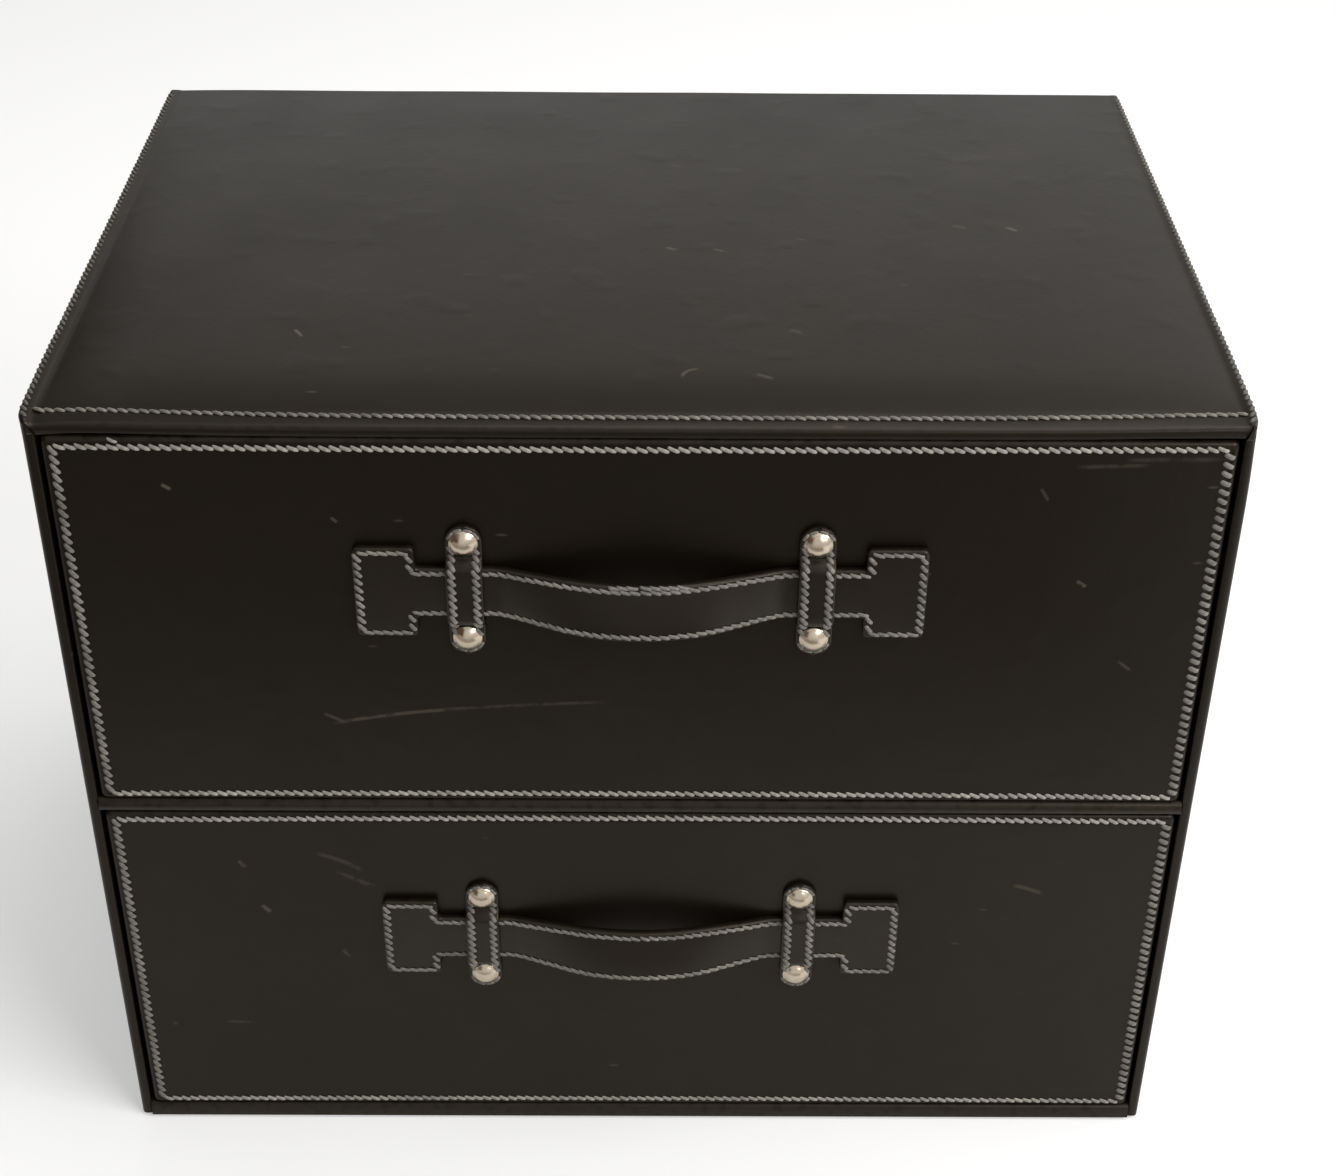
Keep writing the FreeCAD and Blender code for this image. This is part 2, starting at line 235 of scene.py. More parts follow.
def mm_box(node):
    """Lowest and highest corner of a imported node, in millimetres."""
    low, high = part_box(node)
    return low / MM, high / MM


# ---- finishes ----


def linear(hex_colour):
    """sRGB hex to the linear colour that shaders take."""
    channels = [int(hex_colour[i:i + 2], 16) / 255 for i in (1, 3, 5)]
    return [c / 12.92 if c <= 0.04045 else ((c + 0.055) / 1.055) ** 2.4 for c in channels] + [1.0]


def per(size):
    """Texture scale at which a feature is this many millimetres."""
    return 1 / (size * MM)


def node(tree, kind, inputs=(), out=0, **settings):
    """Adds a node with its settings, its values and its links, and gives back one of its outputs."""
    made = tree.nodes.new("ShaderNode" + kind)
    for name, value in settings.items():
        setattr(made, name, value)
    for socket, value in inputs.items() if isinstance(inputs, dict) else enumerate(inputs):
        if isinstance(value, bpy.types.NodeSocket):
            tree.links.new(value, made.inputs[socket])
        else:
            made.inputs[socket].default_value = value
    return made.outputs[out] if made.outputs else None


def blank(name):
    """An empty material, and the node function bound to it."""
    material = bpy.data.materials.new(name)
    material.use_nodes = True
    material.node_tree.nodes.clear()
    return material, partial(node, material.node_tree)


def scrape(add, place, facing, row, breaks):
    """Mask of one scrape: a bowed line between two places on the top or on a drawer front."""
    u0, v0, u1, v1, bow, width = row
    if facing == UP:
        start, end = Vector((u0, v0, CASE_TOP)), Vector((u1, v1, CASE_TOP))
    else:
        start, end = Vector((u0, front_y, v0)), Vector((u1, front_y, v1))
    chord = end - start
    side = Vector(facing).cross(chord).normalized()
    apart = add("VectorMath", (place, start * MM), operation="SUBTRACT")
    along = add("VectorMath", (apart, chord / (chord.length_squared * MM)), "Value", operation="DOT_PRODUCT")
    across = add("VectorMath", (apart, side / MM), "Value", operation="DOT_PRODUCT")
    arch = add("Math", (along, along), operation="MULTIPLY")
    arch = add("Math", (along, arch), operation="SUBTRACT")
    off = add("Math", (arch, -4 * bow, across), operation="MULTIPLY_ADD")
    off = add("Math", (off,), operation="ABSOLUTE")
    line = add("MapRange", (off, width * 0.2, width, 1.0, 0.0), interpolation_type="SMOOTHSTEP")
    ends = add("Math", (along, 0.5), operation="SUBTRACT")
    ends = add("Math", (ends,), operation="ABSOLUTE")
    ends = add("MapRange", (ends, 0.3, 0.5, 1.0, 0.0), interpolation_type="SMOOTHSTEP")
    line = add("Math", (line, ends), operation="MULTIPLY")
    return add("Math", (line, breaks), operation="MULTIPLY")


def plated_leather(name, dark, light, facing=UP, scrapes=(), nicks=0.2, sheen=0.19):
    """Bonded leather, pigmented nearly black and plated smooth under a hot press.

    It gives a low broad sheen, a faint tooth, slow clouds of brown, paler arrises that are partly rubbed wear and
    partly a painted highlight, and dry scrapes.
    """
    material, add = blank(name)
    place = add("TexCoord", out="Object")
    clouds = add("TexNoise", {"Vector": place, "Scale": per(52), "Detail": 3.0, "Roughness": 0.55})
    patches = add("TexNoise", {"Vector": place, "Scale": per(9), "Detail": 2.0})
    patches = add("MapRange", (patches, 0.3, 0.7, 0.88, 1.12))
    shade = add("MapRange", (clouds, 0.3, 0.7))
    colour = add("Mix", {0: shade, 6: linear(dark), 7: linear(light)}, 2, data_type="RGBA")
    colour = add("Mix", {0: 1.0, 6: colour, 7: patches}, 2, data_type="RGBA", blend_type="MULTIPLY")

    breaks = add("TexNoise", {"Vector": place, "Scale": per(3.5), "Detail": 2.0})
    breaks = add("MapRange", (breaks, 0.3, 0.5))
    # Short dry nicks, about 3 mm by 1 mm, strewn thinly and slanting down to the right
    strewn = {"Vector": place, "Rotation": (0.3, 0.8, 0.5), "Scale": (per(48), per(14), per(14))}
    scuffed = {"Vector": add("Mapping", strewn), "Scale": 1.0, "Randomness": 1.0}
    scuffed = add("TexVoronoi", scuffed, "Distance")
    scuffed = add("MapRange", (scuffed, 0.025, 0.05, 1.0, 0.0))
    scuffed = add("Math", (scuffed, nicks), operation="MULTIPLY")
    for *row, depth in scrapes:
        line = scrape(add, place, facing, row, breaks)
        line = add("Math", (line, depth), operation="MULTIPLY")
        scuffed = add("Math", (scuffed, line), operation="MAXIMUM")
    colour = add("Mix", {0: scuffed, 6: colour, 7: linear("#6a6156")}, 2, data_type="RGBA")

    # Edges marked on the mesh turn paler: partly rubbed wear, partly a painted highlight on rounds that catch the
    # light
    rubbed_and_lit = add("Attribute", out="Fac", attribute_name="wear_and_highlight")
    rubbed_and_lit = add("Math", (rubbed_and_lit, breaks), operation="MULTIPLY")
    rubbed_and_lit = add("MapRange", (rubbed_and_lit, 0.0, 1.0, 0.0, 0.5))
    colour = add("Mix", {0: rubbed_and_lit, 6: colour, 7: linear("#2c2721")}, 2, data_type="RGBA")

    # Hair cell grain is about 0.3 mm, drawn at 0.9 mm so that it shows
    cells = {"Vector": place, "Scale": per(0.9), "Randomness": 0.9}
    cells = add("TexVoronoi", cells, "Distance", feature="SMOOTH_F1")
    tooth = add("TexNoise", {"Vector": place, "Scale": per(2.6), "Detail": 3.0})
    tooth = add("Math", (cells, 0.45, tooth), operation="MULTIPLY_ADD")
    grain = add("Bump", {"Height": tooth, "Strength": 0.22, "Distance": 0.12 * MM})
    # Soft dents of the board under the leather, about 6 mm across, in some places only
    dents = add("TexNoise", {"Vector": place, "Scale": per(14), "Detail": 1.0})
    dents = add("MapRange", (dents, 0.54, 0.86), interpolation_type="SMOOTHSTEP")
    grain = add("Bump", {"Height": dents, "Strength": 0.3, "Distance": 0.25 * MM, "Normal": grain})

    dull = add("MapRange", (clouds, 0.3, 0.7, 0.37, 0.31))
    dull = add("Math", (scuffed, 0.25, dull), operation="MULTIPLY_ADD")
    look = {"Base Color": colour, "Roughness": dull, "Normal": grain}
    look.update({"Specular IOR Level": sheen, "Specular Tint": linear("#fff1dc")})
    add("OutputMaterial", (add("BsdfPrincipled", look),))
    return material


def waxed_thread(name, soiled, clean):
    """Twisted polyester thread, drawn through wax: pale grey, two plies that show as slanting turns, a dull shine."""
    material, add = blank(name)
    # The map runs along the stitch in metres and round it in turns; a slanting turn shows about every 3 mm
    ply = {"Vector": add("TexCoord", out="UV"), "Scale": (per(0.8), 2.0, 1.0)}
    ply = {"Vector": add("Mapping", ply), "Scale": 0.16}
    ply = add("TexWave", ply, "Fac", bands_direction="DIAGONAL")
    soil = add("TexNoise", {"Vector": add("TexCoord", out="Object"), "Scale": per(14), "Detail": 3.0})
    soil = add("MapRange", (soil, 0.32, 0.68))
    colour = add("Mix", {0: soil, 6: linear(soiled), 7: linear(clean)}, 2, data_type="RGBA")
    shade = add("MapRange", (ply, 0.0, 1.0, 0.72, 1.05))
    colour = add("Mix", {0: 1.0, 6: colour, 7: shade}, 2, data_type="RGBA", blend_type="MULTIPLY")
    dull = add("MapRange", (soil, 0.0, 1.0, 0.68, 0.5))
    bump = add("Bump", {"Height": ply, "Strength": 0.5, "Distance": 0.1 * MM})
    look = {"Base Color": colour, "Roughness": dull, "Normal": bump}
    look.update({"Specular IOR Level": 0.4, "Sheen Weight": 0.15})
    add("OutputMaterial", (add("BsdfPrincipled", look),))
    return material


def polished_nickel():
    """Pressed steel cap, nickel plated and tumbled bright: warm white metal with hair marks and a few dull spots."""
    material, add = blank("polished_nickel_plate")
    place = add("TexCoord", out="Object")
    cloud = add("TexNoise", {"Vector": place, "Scale": per(2.4), "Detail": 3.0})
    colour = add("Mix", {0: cloud, 6: linear("#a39684"), 7: linear("#c4b8a6")}, 2, data_type="RGBA")
    drawn = {"Vector": place, "Rotation": (0.0, 0.6, 0.0), "Scale": (per(2.5), per(0.25), per(0.25))}
    hairs = add("TexNoise", {"Vector": add("Mapping", drawn), "Scale": 1.0, "Detail": 1.0})
    bump = add("Bump", {"Height": hairs, "Strength": 0.12, "Distance": 0.03 * MM})
    dull = add("MapRange", (cloud, 0.3, 0.7, 0.2, 0.32))
    look = {"Base Color": colour, "Roughness": dull, "Normal": bump, "Metallic": 1.0}
    add("OutputMaterial", (add("BsdfPrincipled", look),))
    return material


def paper_faced_board():
    """Grey chipboard faced with dyed paper: flat dark brown, matt, with short fibres and soft pressing marks."""
    material, add = blank("paper_faced_chipboard")
    place = add("TexCoord", out="Object")
    pulp = add("TexNoise", {"Vector": place, "Scale": per(6), "Detail": 4.0, "Roughness": 0.65})
    shade = add("MapRange", (pulp, 0.3, 0.7))
    colour = add("Mix", {0: shade, 6: linear("#2a231d"), 7: linear("#372e26")}, 2, data_type="RGBA")
    # Fibres are near 2 mm by 0.1 mm, drawn 0.4 mm wide so that they show
    strewn = add("Mapping", {"Vector": place, "Scale": (per(2.2), per(0.4), per(0.5))})
    fibres = add("TexNoise", {"Vector": strewn, "Scale": 1.0, "Detail": 2.0})
    lint = add("MapRange", (fibres, 0.66, 0.74, 0.0, 0.4))
    colour = add("Mix", {0: lint, 6: colour, 7: linear("#56493c")}, 2, data_type="RGBA")
    bump = add("Bump", {"Height": fibres, "Strength": 0.25, "Distance": 0.08 * MM})
    dull = add("MapRange", (pulp, 0.3, 0.7, 0.82, 0.7))
    look = {"Base Color": colour, "Roughness": dull, "Normal": bump, "Specular IOR Level": 0.3}
    add("OutputMaterial", (add("BsdfPrincipled", look),))
    return material


def pressed_felt():
    """Wool felt, matted and pressed: deep taupe that stays soft at every angle, with tangled fibres and pale lint."""
    material, add = blank("pressed_wool_felt")
    place = add("TexCoord", out="Object")
    mat = add("TexNoise", {"Vector": place, "Scale": per(7), "Detail": 5.0, "Roughness": 0.7})
    shade = add("MapRange", (mat, 0.32, 0.68))
    colour = add("Mix", {0: shade, 6: linear("#2e2924"), 7: linear("#423b34")}, 2, data_type="RGBA")
    # Fibres are 0.03 mm, drawn as a tangle of 0.7 mm cells so that it shows
    tangle = add("TexNoise", {"Vector": place, "Scale": per(0.7), "Detail": 3.0, "Distortion": 2.2})
    lint = add("MapRange", (tangle, 0.64, 0.78, 0.0, 0.5))
    colour = add("Mix", {0: lint, 6: colour, 7: linear("#6b6156")}, 2, data_type="RGBA")
    bump = add("Bump", {"Height": tangle, "Strength": 0.6, "Distance": 0.3 * MM})
    dull = add("MapRange", (mat, 0.0, 1.0, 0.9, 1.0))
    look = {"Base Color": colour, "Roughness": dull, "Normal": bump}
    look.update({"Specular IOR Level": 0.15, "Sheen Weight": 0.35, "Sheen Roughness": 0.6})
    add("OutputMaterial", (add("BsdfPrincipled", look),))
    return material


# Scrapes: from and to, as (x, y) on the top or (x, z) on a front, then bow, width and depth
TOP_SCRAPES = [
    (-107.5, -70, -104.5, -75, 0.0, 0.8, 0.6),
    (12, -100, 18, -94, 2.0, 0.9, 0.3),
    (122, 6, 126, 3, 0.0, 1.2, 0.4),
    (7, -11, 11, -13, 0.0, 1.2, 0.35),
    (23, -12, 27, -14, 0.0, 1.1, 0.25),
    (104, 7, 109, 5, 0.0, 1.1, 0.25),
    (34, -97, 40, -100, 0.0, 1.2, 0.25),
    (45, -69, 51, -72, 0.6, 1.4, 0.16),
]
UPPER_SCRAPES = [
    (-100.5, 183.2, -92.6, 179.0, 0.0, 0.9, 0.24),
    (-99, 178.6, -56, 185.0, 1.0, 1.0, 0.3),
    (-72, 183.9, -8, 188.0, 0.5, 0.9, 0.17),
    (127, 275.0, 150, 275.8, 0.0, 1.0, 0.15),
    (140, 277.5, 172, 277.9, 0.0, 1.1, 0.13),
    (-141.5, 267.7, -138.5, 265.8, 0.0, 0.9, 0.5),
    (-92.4, 256.4, -90.4, 254.5, 0.0, 0.8, 0.3),
    (132, 235, 135.5, 232.5, 0.0, 0.9, 0.4),
    (84, 238.6, 88, 236.6, 0.0, 0.9, 0.2),
    (148, 205, 153, 201, 0.0, 0.8, 0.22),
    (118, 268, 121, 263, 0.0, 0.8, 0.18),
]
LOWER_SCRAPES = [
    (-108, 125, -92, 117, 0.8, 1.3, 0.2),
    (-102, 118, -88, 110, -0.5, 1.2, 0.18),
    (-133.5, 121.5, -131, 118.5, 0.0, 1.1, 0.3),
    (-127.5, 102, -124.5, 98.5, 0.0, 1.2, 0.4),
    (-166, 48.5, -162, 45.5, 0.0, 1.1, 0.3),
    (-146, 47.2, -134, 46.4, 0.3, 0.9, 0.18),
    (124, 112, 135, 108, 0.4, 1.2, 0.24),
    (-102, 82, -99, 78, 0.0, 1.1, 0.2),
]

case_leather = plated_leather("plated_leather_case", "#0d0905", "#120d08", UP, TOP_SCRAPES)
# Both drawer fronts are one leather: the upper is painted darker as painted shade, the lower paler as painted light
upper_leather_painted_darker = plated_leather("plated_leather_upper_front_painted_darker", "#0b0704", "#0f0a06", OUT, UPPER_SCRAPES)
lower_leather_painted_paler = plated_leather("plated_leather_lower_front_painted_paler", "#0e0a06", "#120d08", OUT, LOWER_SCRAPES)
strap_leather = plated_leather("plated_leather_strap", "#0e0a06", "#130f0a", nicks=0.1, sheen=0.26)
# One waxed thread in four tones, palest to darkest: level rows of the fronts; uprights, straps and keepers; the front
# seam of the top; the seams along the side edges
thread = waxed_thread("waxed_polyester_thread", "#827d75", "#a9a49b")
mid_grey_thread = waxed_thread("waxed_polyester_thread_mid_grey", "#625e57", "#827d74")
darkest_thread = waxed_thread("waxed_polyester_thread_darkest", "#3a372f", "#4d493f")
dark_grey_thread = waxed_thread("waxed_polyester_thread_dark_grey", "#5a564f", "#78736a")
nickel = polished_nickel()
board = paper_faced_board()
felt = pressed_felt()


# ---- shapes ----


def piece(name, shape, material, wear_and_highlight=None, turns=None):
    """A mesh object from the points (in millimetres) and faces of a shape, with its faces turned outwards."""
    points, faces = shape
    mesh = bpy.data.meshes.new(name)
    mesh.from_pydata([Vector(p) * MM for p in points], [], faces)
    if wear_and_highlight:
        mesh.attributes.new("wear_and_highlight", "FLOAT", "POINT").data.foreach_set("value", wear_and_highlight)
    if turns:
        layer = mesh.uv_layers.new(name="turns")
        for loop in mesh.loops:
            layer.data[loop.index].uv = turns[loop.vertex_index]
    tidy = bmesh.new()
    tidy.from_mesh(mesh)
    bmesh.ops.remove_doubles(tidy, verts=tidy.verts, dist=0.0005 * MM)
    bmesh.ops.dissolve_degenerate(tidy, dist=0.0005 * MM, edges=tidy.edges)
    bmesh.ops.recalc_face_normals(tidy, faces=tidy.faces)
    tidy.to_mesh(mesh)
    tidy.free()
    mesh.shade_smooth()
    mesh.set_sharp_from_angle(angle=math.radians(48))
    mesh.materials.append(material)
    made = bpy.data.objects.new(name, mesh)
    bpy.context.scene.collection.objects.link(made)
    return made


def spread(start, end, step):
    """Evenly spaced values from start to end, about a step apart."""
    count = max(1, round(abs(end - start) / step))
    return [start + (end - start) * i / count for i in range(count + 1)]


def laid_sheet(rows, thickness):
    """Points and faces of a sheet whose face is the grid of rows, with its thickness behind it."""
    count = len(rows)
    width = len(rows[0])

    def at(i, j):
        return rows[max(0, min(count - 1, i))][max(0, min(width - 1, j))]

    face_side = []
    back_side = []
    for i in range(count):
        for j in range(width):
            normal = (at(i + 1, j) - at(i - 1, j)).cross(at(i, j + 1) - at(i, j - 1)).normalized()
            face_side.append(at(i, j))
            back_side.append(at(i, j) - normal * thickness)
    return face_side + back_side, paired_faces(count, width)


def paired_faces(count, width):
    """Faces of two grids of the same size, joined along their rims."""
    size = count * width
    faces = []
    for i in range(count - 1):
        for j in range(width - 1):
            quad = (i * width + j, (i + 1) * width + j, (i + 1) * width + j + 1, i * width + j + 1)
            faces.append(quad)
            faces.append(tuple(k + size for k in reversed(quad)))
    rim = list(range(width))
    rim += [i * width + width - 1 for i in range(1, count)]
    rim += [(count - 1) * width + j for j in range(width - 2, -1, -1)]
    rim += [i * width for i in range(count - 2, 0, -1)]
    for a, b in zip(rim, rim[1:] + rim[:1]):
        faces.append((a, b, b + size, a + size))
    return faces


def lofted(rings):
    """Points and faces of a closed skin through rings of equal count, with both ends filled."""
    count = len(rings[0])
    points = [point for ring in rings for point in ring]
    faces = []
    for i in range(len(rings) - 1):
        for j in range(count):
            k = (j + 1) % count
            faces.append((i * count + j, i * count + k, (i + 1) * count + k, (i + 1) * count + j))
    faces.append(tuple(range(count)))
    faces.append(tuple(range(len(points) - count, len(points))))
    return points, faces


def add_shape(store, shape):
    """Adds the points and faces of one shape to a store of both."""
    first = len(store[0])
    store[0].extend(shape[0])
    store[1].extend(tuple(k + first for k in face) for face in shape[1])


def bend(radius, angle):
    """How far a round of this radius falls short of its square corner at an angle in degrees: (1 - cos, 1 - sin)."""
    turn = math.radians(angle)
    return radius * (1 - math.cos(turn)), radius * (1 - math.sin(turn))


def loop_round(half_u, half_v, radius):
    """Rounded rectangle about the middle, as (u, v) points in order."""
    points = []
    for quarter, (su, sv) in enumerate(((1, 1), (-1, 1), (-1, -1), (1, -1))):
        for step in (0, 18, 36, 54, 72, 90):
            turn = math.radians(90 * quarter + step)
            u = su * (half_u - radius) + radius * math.cos(turn)
            v = sv * (half_v - radius) + radius * math.sin(turn)
            points.append((u, v))
    return points


def ripple(u, v, seed):
    """Slow unevenness of leather laid by hand, from -1 to 1."""
    return noise.noise(Vector((u / RIPPLE, v / RIPPLE, seed)))


# ---- case ----


def top_ease(x, y):
    """How far the leather of the top stands above or below its flat level."""
    across = max(0.0, 1 - (x / CASE_HALF) ** 6)
    near = max(0.0, 1 - (y - front_y) / TOP_DROP_REACH)
    crown = TOP_CROWN * across * max(0.0, 1 - (2 * y / CASE_DEPTH) ** 2)
    drop = TOP_DROP * near ** 3 * (0.3 + 0.7 * across)
    return crown - drop - edge_roll(x, y)


def edge_roll(x, y):
    """How far the top rolls down beside the raised seam along a side; the roll runs out towards the back."""
    side = 1 if x > 0 else -1
    near = max(0.0, 1 - (CASE_HALF - abs(x)) / EDGE_ROLL_REACH)
    return EDGE_ROLL[side] * near ** 3 * (1 - EDGE_ROLL_FADE * (y - front_y) / CASE_DEPTH)


def edge_ridge(x, y):
    """The raised seam along a side of the top."""
    side = 1 if x > 0 else -1
    return edge_roll(CASE_HALF * side, y) * math.exp(-(((CASE_HALF - abs(x)) / EDGE_RIDGE_WIDTH) ** 4))


def edge_flare(side, y, z):
    """How far a side stands out near its top seam; the corner over the mouth is rounded off."""
    near = max(0.0, (z - CASE_TOP + EDGE_FLARE_REACH) / EDGE_FLARE_REACH) ** 2
    corner = MOUTH_CORNER * math.exp(-(((y - front_y) / MOUTH_CORNER_REACH) ** 2))
    return near * (EDGE_FLARE[side] - corner)


def lip(kind, value, top):
    """(y, inward depth) of one line of the case cover near its mouth; top runs from 0 on a side to 1 on the top."""
    thick = LIP_SIDE_THICK + (LIP_TOP_THICK - LIP_SIDE_THICK) * top
    if kind == "face":
        return value, 0.0
    if kind == "inside":
        return value, thick
    if kind == "nose":
        inward, back = bend(LIP_OUTSIDE, value)
        return front_y + back, inward
    back, inward = bend(LIP_INSIDE, value)
    return front_y + back, thick - inward


def case_seam_y(x):
    """The seam along the front of the top swings back towards the corners."""
    return front_y + CASE_SEAM_INSET + CASE_SEAM_SWING[1 if x >= 0 else -1] * abs(x / CASE_SEAM_HALF) ** 3


def on_arris(kind, value, side, place, half, level):
    """A point of the case cover on the round between a side and the top, place degrees up from the side."""
    y = lip(kind, value, place / 90)[0]
    side_in = lip(kind, value, 0.0)[1]
    top_in = lip(kind, value, 1.0)[1]
    radius = max(0.25, CASE_ARRIS - (side_in + top_in) / 2)
    inward, down = bend(radius, place)
    share = max(0.0, 1 - top_in / LIP_TOP_THICK)
    x = half - side_in + share * edge_flare(side, y, level) - inward
    z = level - top_in - down
    z += share * (top_ease(side * half, y) + edge_ridge(side * half, y))
    return Vector((side * x, y, z))


def case_cover():
    """One sheet over both sides and the top, rolled round the mouth and turned in."""
    low, high = mm_box("outer_cover")
    half = high.x
    depth_lines = [("face", y) for y in spread(high.y + COVER, -90, 9)]
    depth_lines += [("face", front_y + d) for d in (30, 26, 22, 18, 15, 12, 10, 8, 6.6, 5.6, 4.9, 4.4, 4.0, 3.6, 3.2)]
    depth_lines += [("nose", a) for a in (0, 18, 36, 54, 72, 90)]
    depth_lines += [("turn", a) for a in (0, 30, 60, 90)]
    depth_lines += [("inside", front_y + d) for d in (4, 9, 14.8)]

    heights = spread(low.z, high.z - 36, 9) + spread(high.z - 32, high.z - 7, 4)
    insets = (26, 22, 18, 15, 12, 9.5, 7.5, 6.2, 5.6)
    ring = [("side", -1, z) for z in heights]
    ring += [("arris", -1, a) for a in (0, 15, 30, 45, 60, 75, 90)]
    ring += [("top", 1, -half + d) for d in (1.9, 2.4, 2.9, 3.5, 4.4) + insets[::-1]]
    ring += [("top", 1, x) for x in spread(-half + 32, half - 32, 7)]
    ring += [("top", 1, half - d) for d in insets + (4.4, 3.5, 2.9, 2.4, 1.9)]
    ring += [("arris", 1, a) for a in (90, 75, 60, 45, 30, 15, 0)]
    ring += [("side", 1, z) for z in reversed(heights)]

    rows = []
    wear_and_highlight = []
    for kind, value in depth_lines:
        side_in = lip(kind, value, 0.0)[1]
        top_in = lip(kind, value, 1.0)[1]
        row = []
        for part, side, place in ring:
            top = {"side": 0.0, "top": 1.0}.get(part, place / 90)
            y = lip(kind, value, top)[0]
            # The nose of the mouth is marked paler, more over the top than on the sides, and so is the round between
            # side and top: partly rubbed wear, partly a painted highlight
            edge = 0.1 + 0.3 * top if kind == "nose" and 10 < value < 80 else 0.0
            if part == "side":
                swell = SIDE_RIPPLE * ripple(y, place, 4.0) if kind == "face" else 0.0
                swell += edge_flare(side, y, place) * max(0.0, 1 - side_in / LIP_SIDE_THICK)
                row.append(Vector((side * (half - side_in + swell), y, place)))
            elif part == "top":
                z = high.z - top_in
                share = max(0.0, 1 - top_in / LIP_TOP_THICK)
                z += share * (top_ease(place, y) + edge_ridge(place, y))
                near = max(0.0, 1 - (y - front_y) / LIP_SAG_REACH)
                z -= (1 - share) * LIP_SAG * (1 - (place / half) ** 2) * near ** 2
                if kind == "face":
                    z += TOP_RIPPLE * ripple(place, y, 9.0)
                    z -= CASE_GROOVE * math.exp(-(((y - case_seam_y(place)) / CASE_GROOVE_WIDTH) ** 2))
                row.append(Vector((place, y, z)))
            else:
                row.append(on_arris(kind, value, side, place, half, high.z))
                edge = max(edge, 0.6 * math.sin(math.radians(2 * place)))
            wear_and_highlight.append(edge)
        rows.append(row)
    made = piece("case_cover", laid_sheet(rows, COVER), case_leather, wear_and_highlight + wear_and_highlight)
    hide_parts("outer_cover")
    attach(made, "case")


def case_top_board():
    """The board under the top, eased at its front edge like the leather over it."""
    low, high = mm_box("top_board")
    rings = []
    for x in spread(low.x, high.x, 12):
        ring = [(high.y, low.z), (low.y, low.z), (low.y, high.z - BOARD_ROUND)]
        bends = [bend(BOARD_ROUND, a) for a in (30, 60, 90)]
        ring += [(low.y + back, high.z - down) for back, down in bends]
        ring += [(front_y + d, high.z) for d in (8, 14, 22, 30)] + [(high.y, high.z)]
        rings.append([(x, y, z if z < high.z - 3 else z + min(0.0, top_ease(x, y)) - 0.05) for y, z in ring])
    made = piece("case_top_board", lofted(rings), board)
    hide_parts("top_board")
    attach(made, "case")


def fold_sheet(name, node_name, profile, half_widths):
    """A leather sheet folded along X: its (y, z, paler edge mark of wear and painted highlight) profile is swept
    between the half widths.
    """
    shares = spread(-1, 1, 0.04)
    rows = [[Vector((share * half, y, z)) for share in shares] for (y, z, _), half in zip(profile, half_widths)]
    wear_and_highlight = [worn_and_lit for _, _, worn_and_lit in profile for _ in shares]
    made = piece(name, laid_sheet(rows, COVER), case_leather, wear_and_highlight + wear_and_highlight)
    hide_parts(node_name)
    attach(made, "case")


def shelf_and_base_covers():
    """Leather over the shelf and its nose, and over the base and its front edge."""
    low, high = mm_box("shelf_cover")
    middle = (low.z + high.z) / 2
    nose = (high.z - low.z) / 2
    profile = [(y, low.z, 0.0) for y in spread(high.y, BEHIND_MOUTH, 20)]
    halves = [high.x] * len(profile)
    front = [(y, low.z, 0.0) for y in (*WITHIN_MOUTH[::-1], front_y + nose)]
    # The round of the nose is marked paler: a painted highlight on top of some rubbed wear
    for a in spread(-72, 72, 18):
        turn = math.radians(a)
        bulge = math.cos(turn) ** (1.0 if a > 0 else 0.35)
        front.append((front_y + nose * (1 - bulge), middle + nose * math.sin(turn), 0.9))
    front += [(y, high.z, 0.0) for y in (front_y + nose, *WITHIN_MOUTH)]
    rear = [(y, high.z, 0.0) for y in spread(BEHIND_MOUTH, high.y, 20)]
    halves += [MOUTH_HALF] * len(front) + [high.x] * len(rear)
    fold_sheet("shelf_covering", "shelf_cover", profile + front + rear, halves)

    low, high = mm_box("base_cover")
    # The front edge is marked paler: a painted highlight on top of some rubbed wear
    front = [(front_y, z, 0.9) for z in (low.z, low.z + BASE_ROUND, high.z - BASE_ROUND)]
    bends = [bend(BASE_ROUND, a) for a in (30, 60, 90)]
    front += [(front_y + back, high.z - down, 0.9) for back, down in bends]
    front += [(y, high.z, 0.0) for y in WITHIN_MOUTH]
    rear = [(y, high.z, 0.0) for y in spread(BEHIND_MOUTH, high.y, 20)]
    halves = [MOUTH_HALF] * len(front) + [high.x] * len(rear)
    fold_sheet("base_covering", "base_cover", front + rear, halves)


def back_cover():
    """A flat sheet on the back, pressed down round its rim."""
    low, high = mm_box("back_cover")
    rows = []
    for z in spread(low.z, high.z, 9):
        row = []
        for x in spread(low.x, high.x, 9):
            rim = min(x - low.x, high.x - x, z - low.z, high.z - z)
            ease = 0.3 * math.exp(-rim / 1.5)
            row.append(Vector((x, high.y - ease + BACK_RIPPLE * ripple(x, z, 17.0) - BACK_RIPPLE, z)))
        rows.append(row)
    made = piece("back_covering", laid_sheet(rows, BACK_LEATHER), case_leather)
    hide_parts("back_cover")
    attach(made, "case")


def base_felt():
    """The sheet the box stands on, with soft edges."""
    low, high = mm_box("base_felt")
    rings = []
    for inset, z in ((0.5, low.z), (0.1, 0.2), (0.0, 0.5), (0.15, 0.85), (0.5, high.z)):
        ring = loop_round(high.x - inset, high.y - inset, BASE_FELT_CORNER)
        rings.append([(x, y, z) for x, y in ring])
    made = piece("base_felt_sheet", lofted(rings), felt)
    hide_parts("base_felt")
    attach(made, "case")


# ---- drawers ----


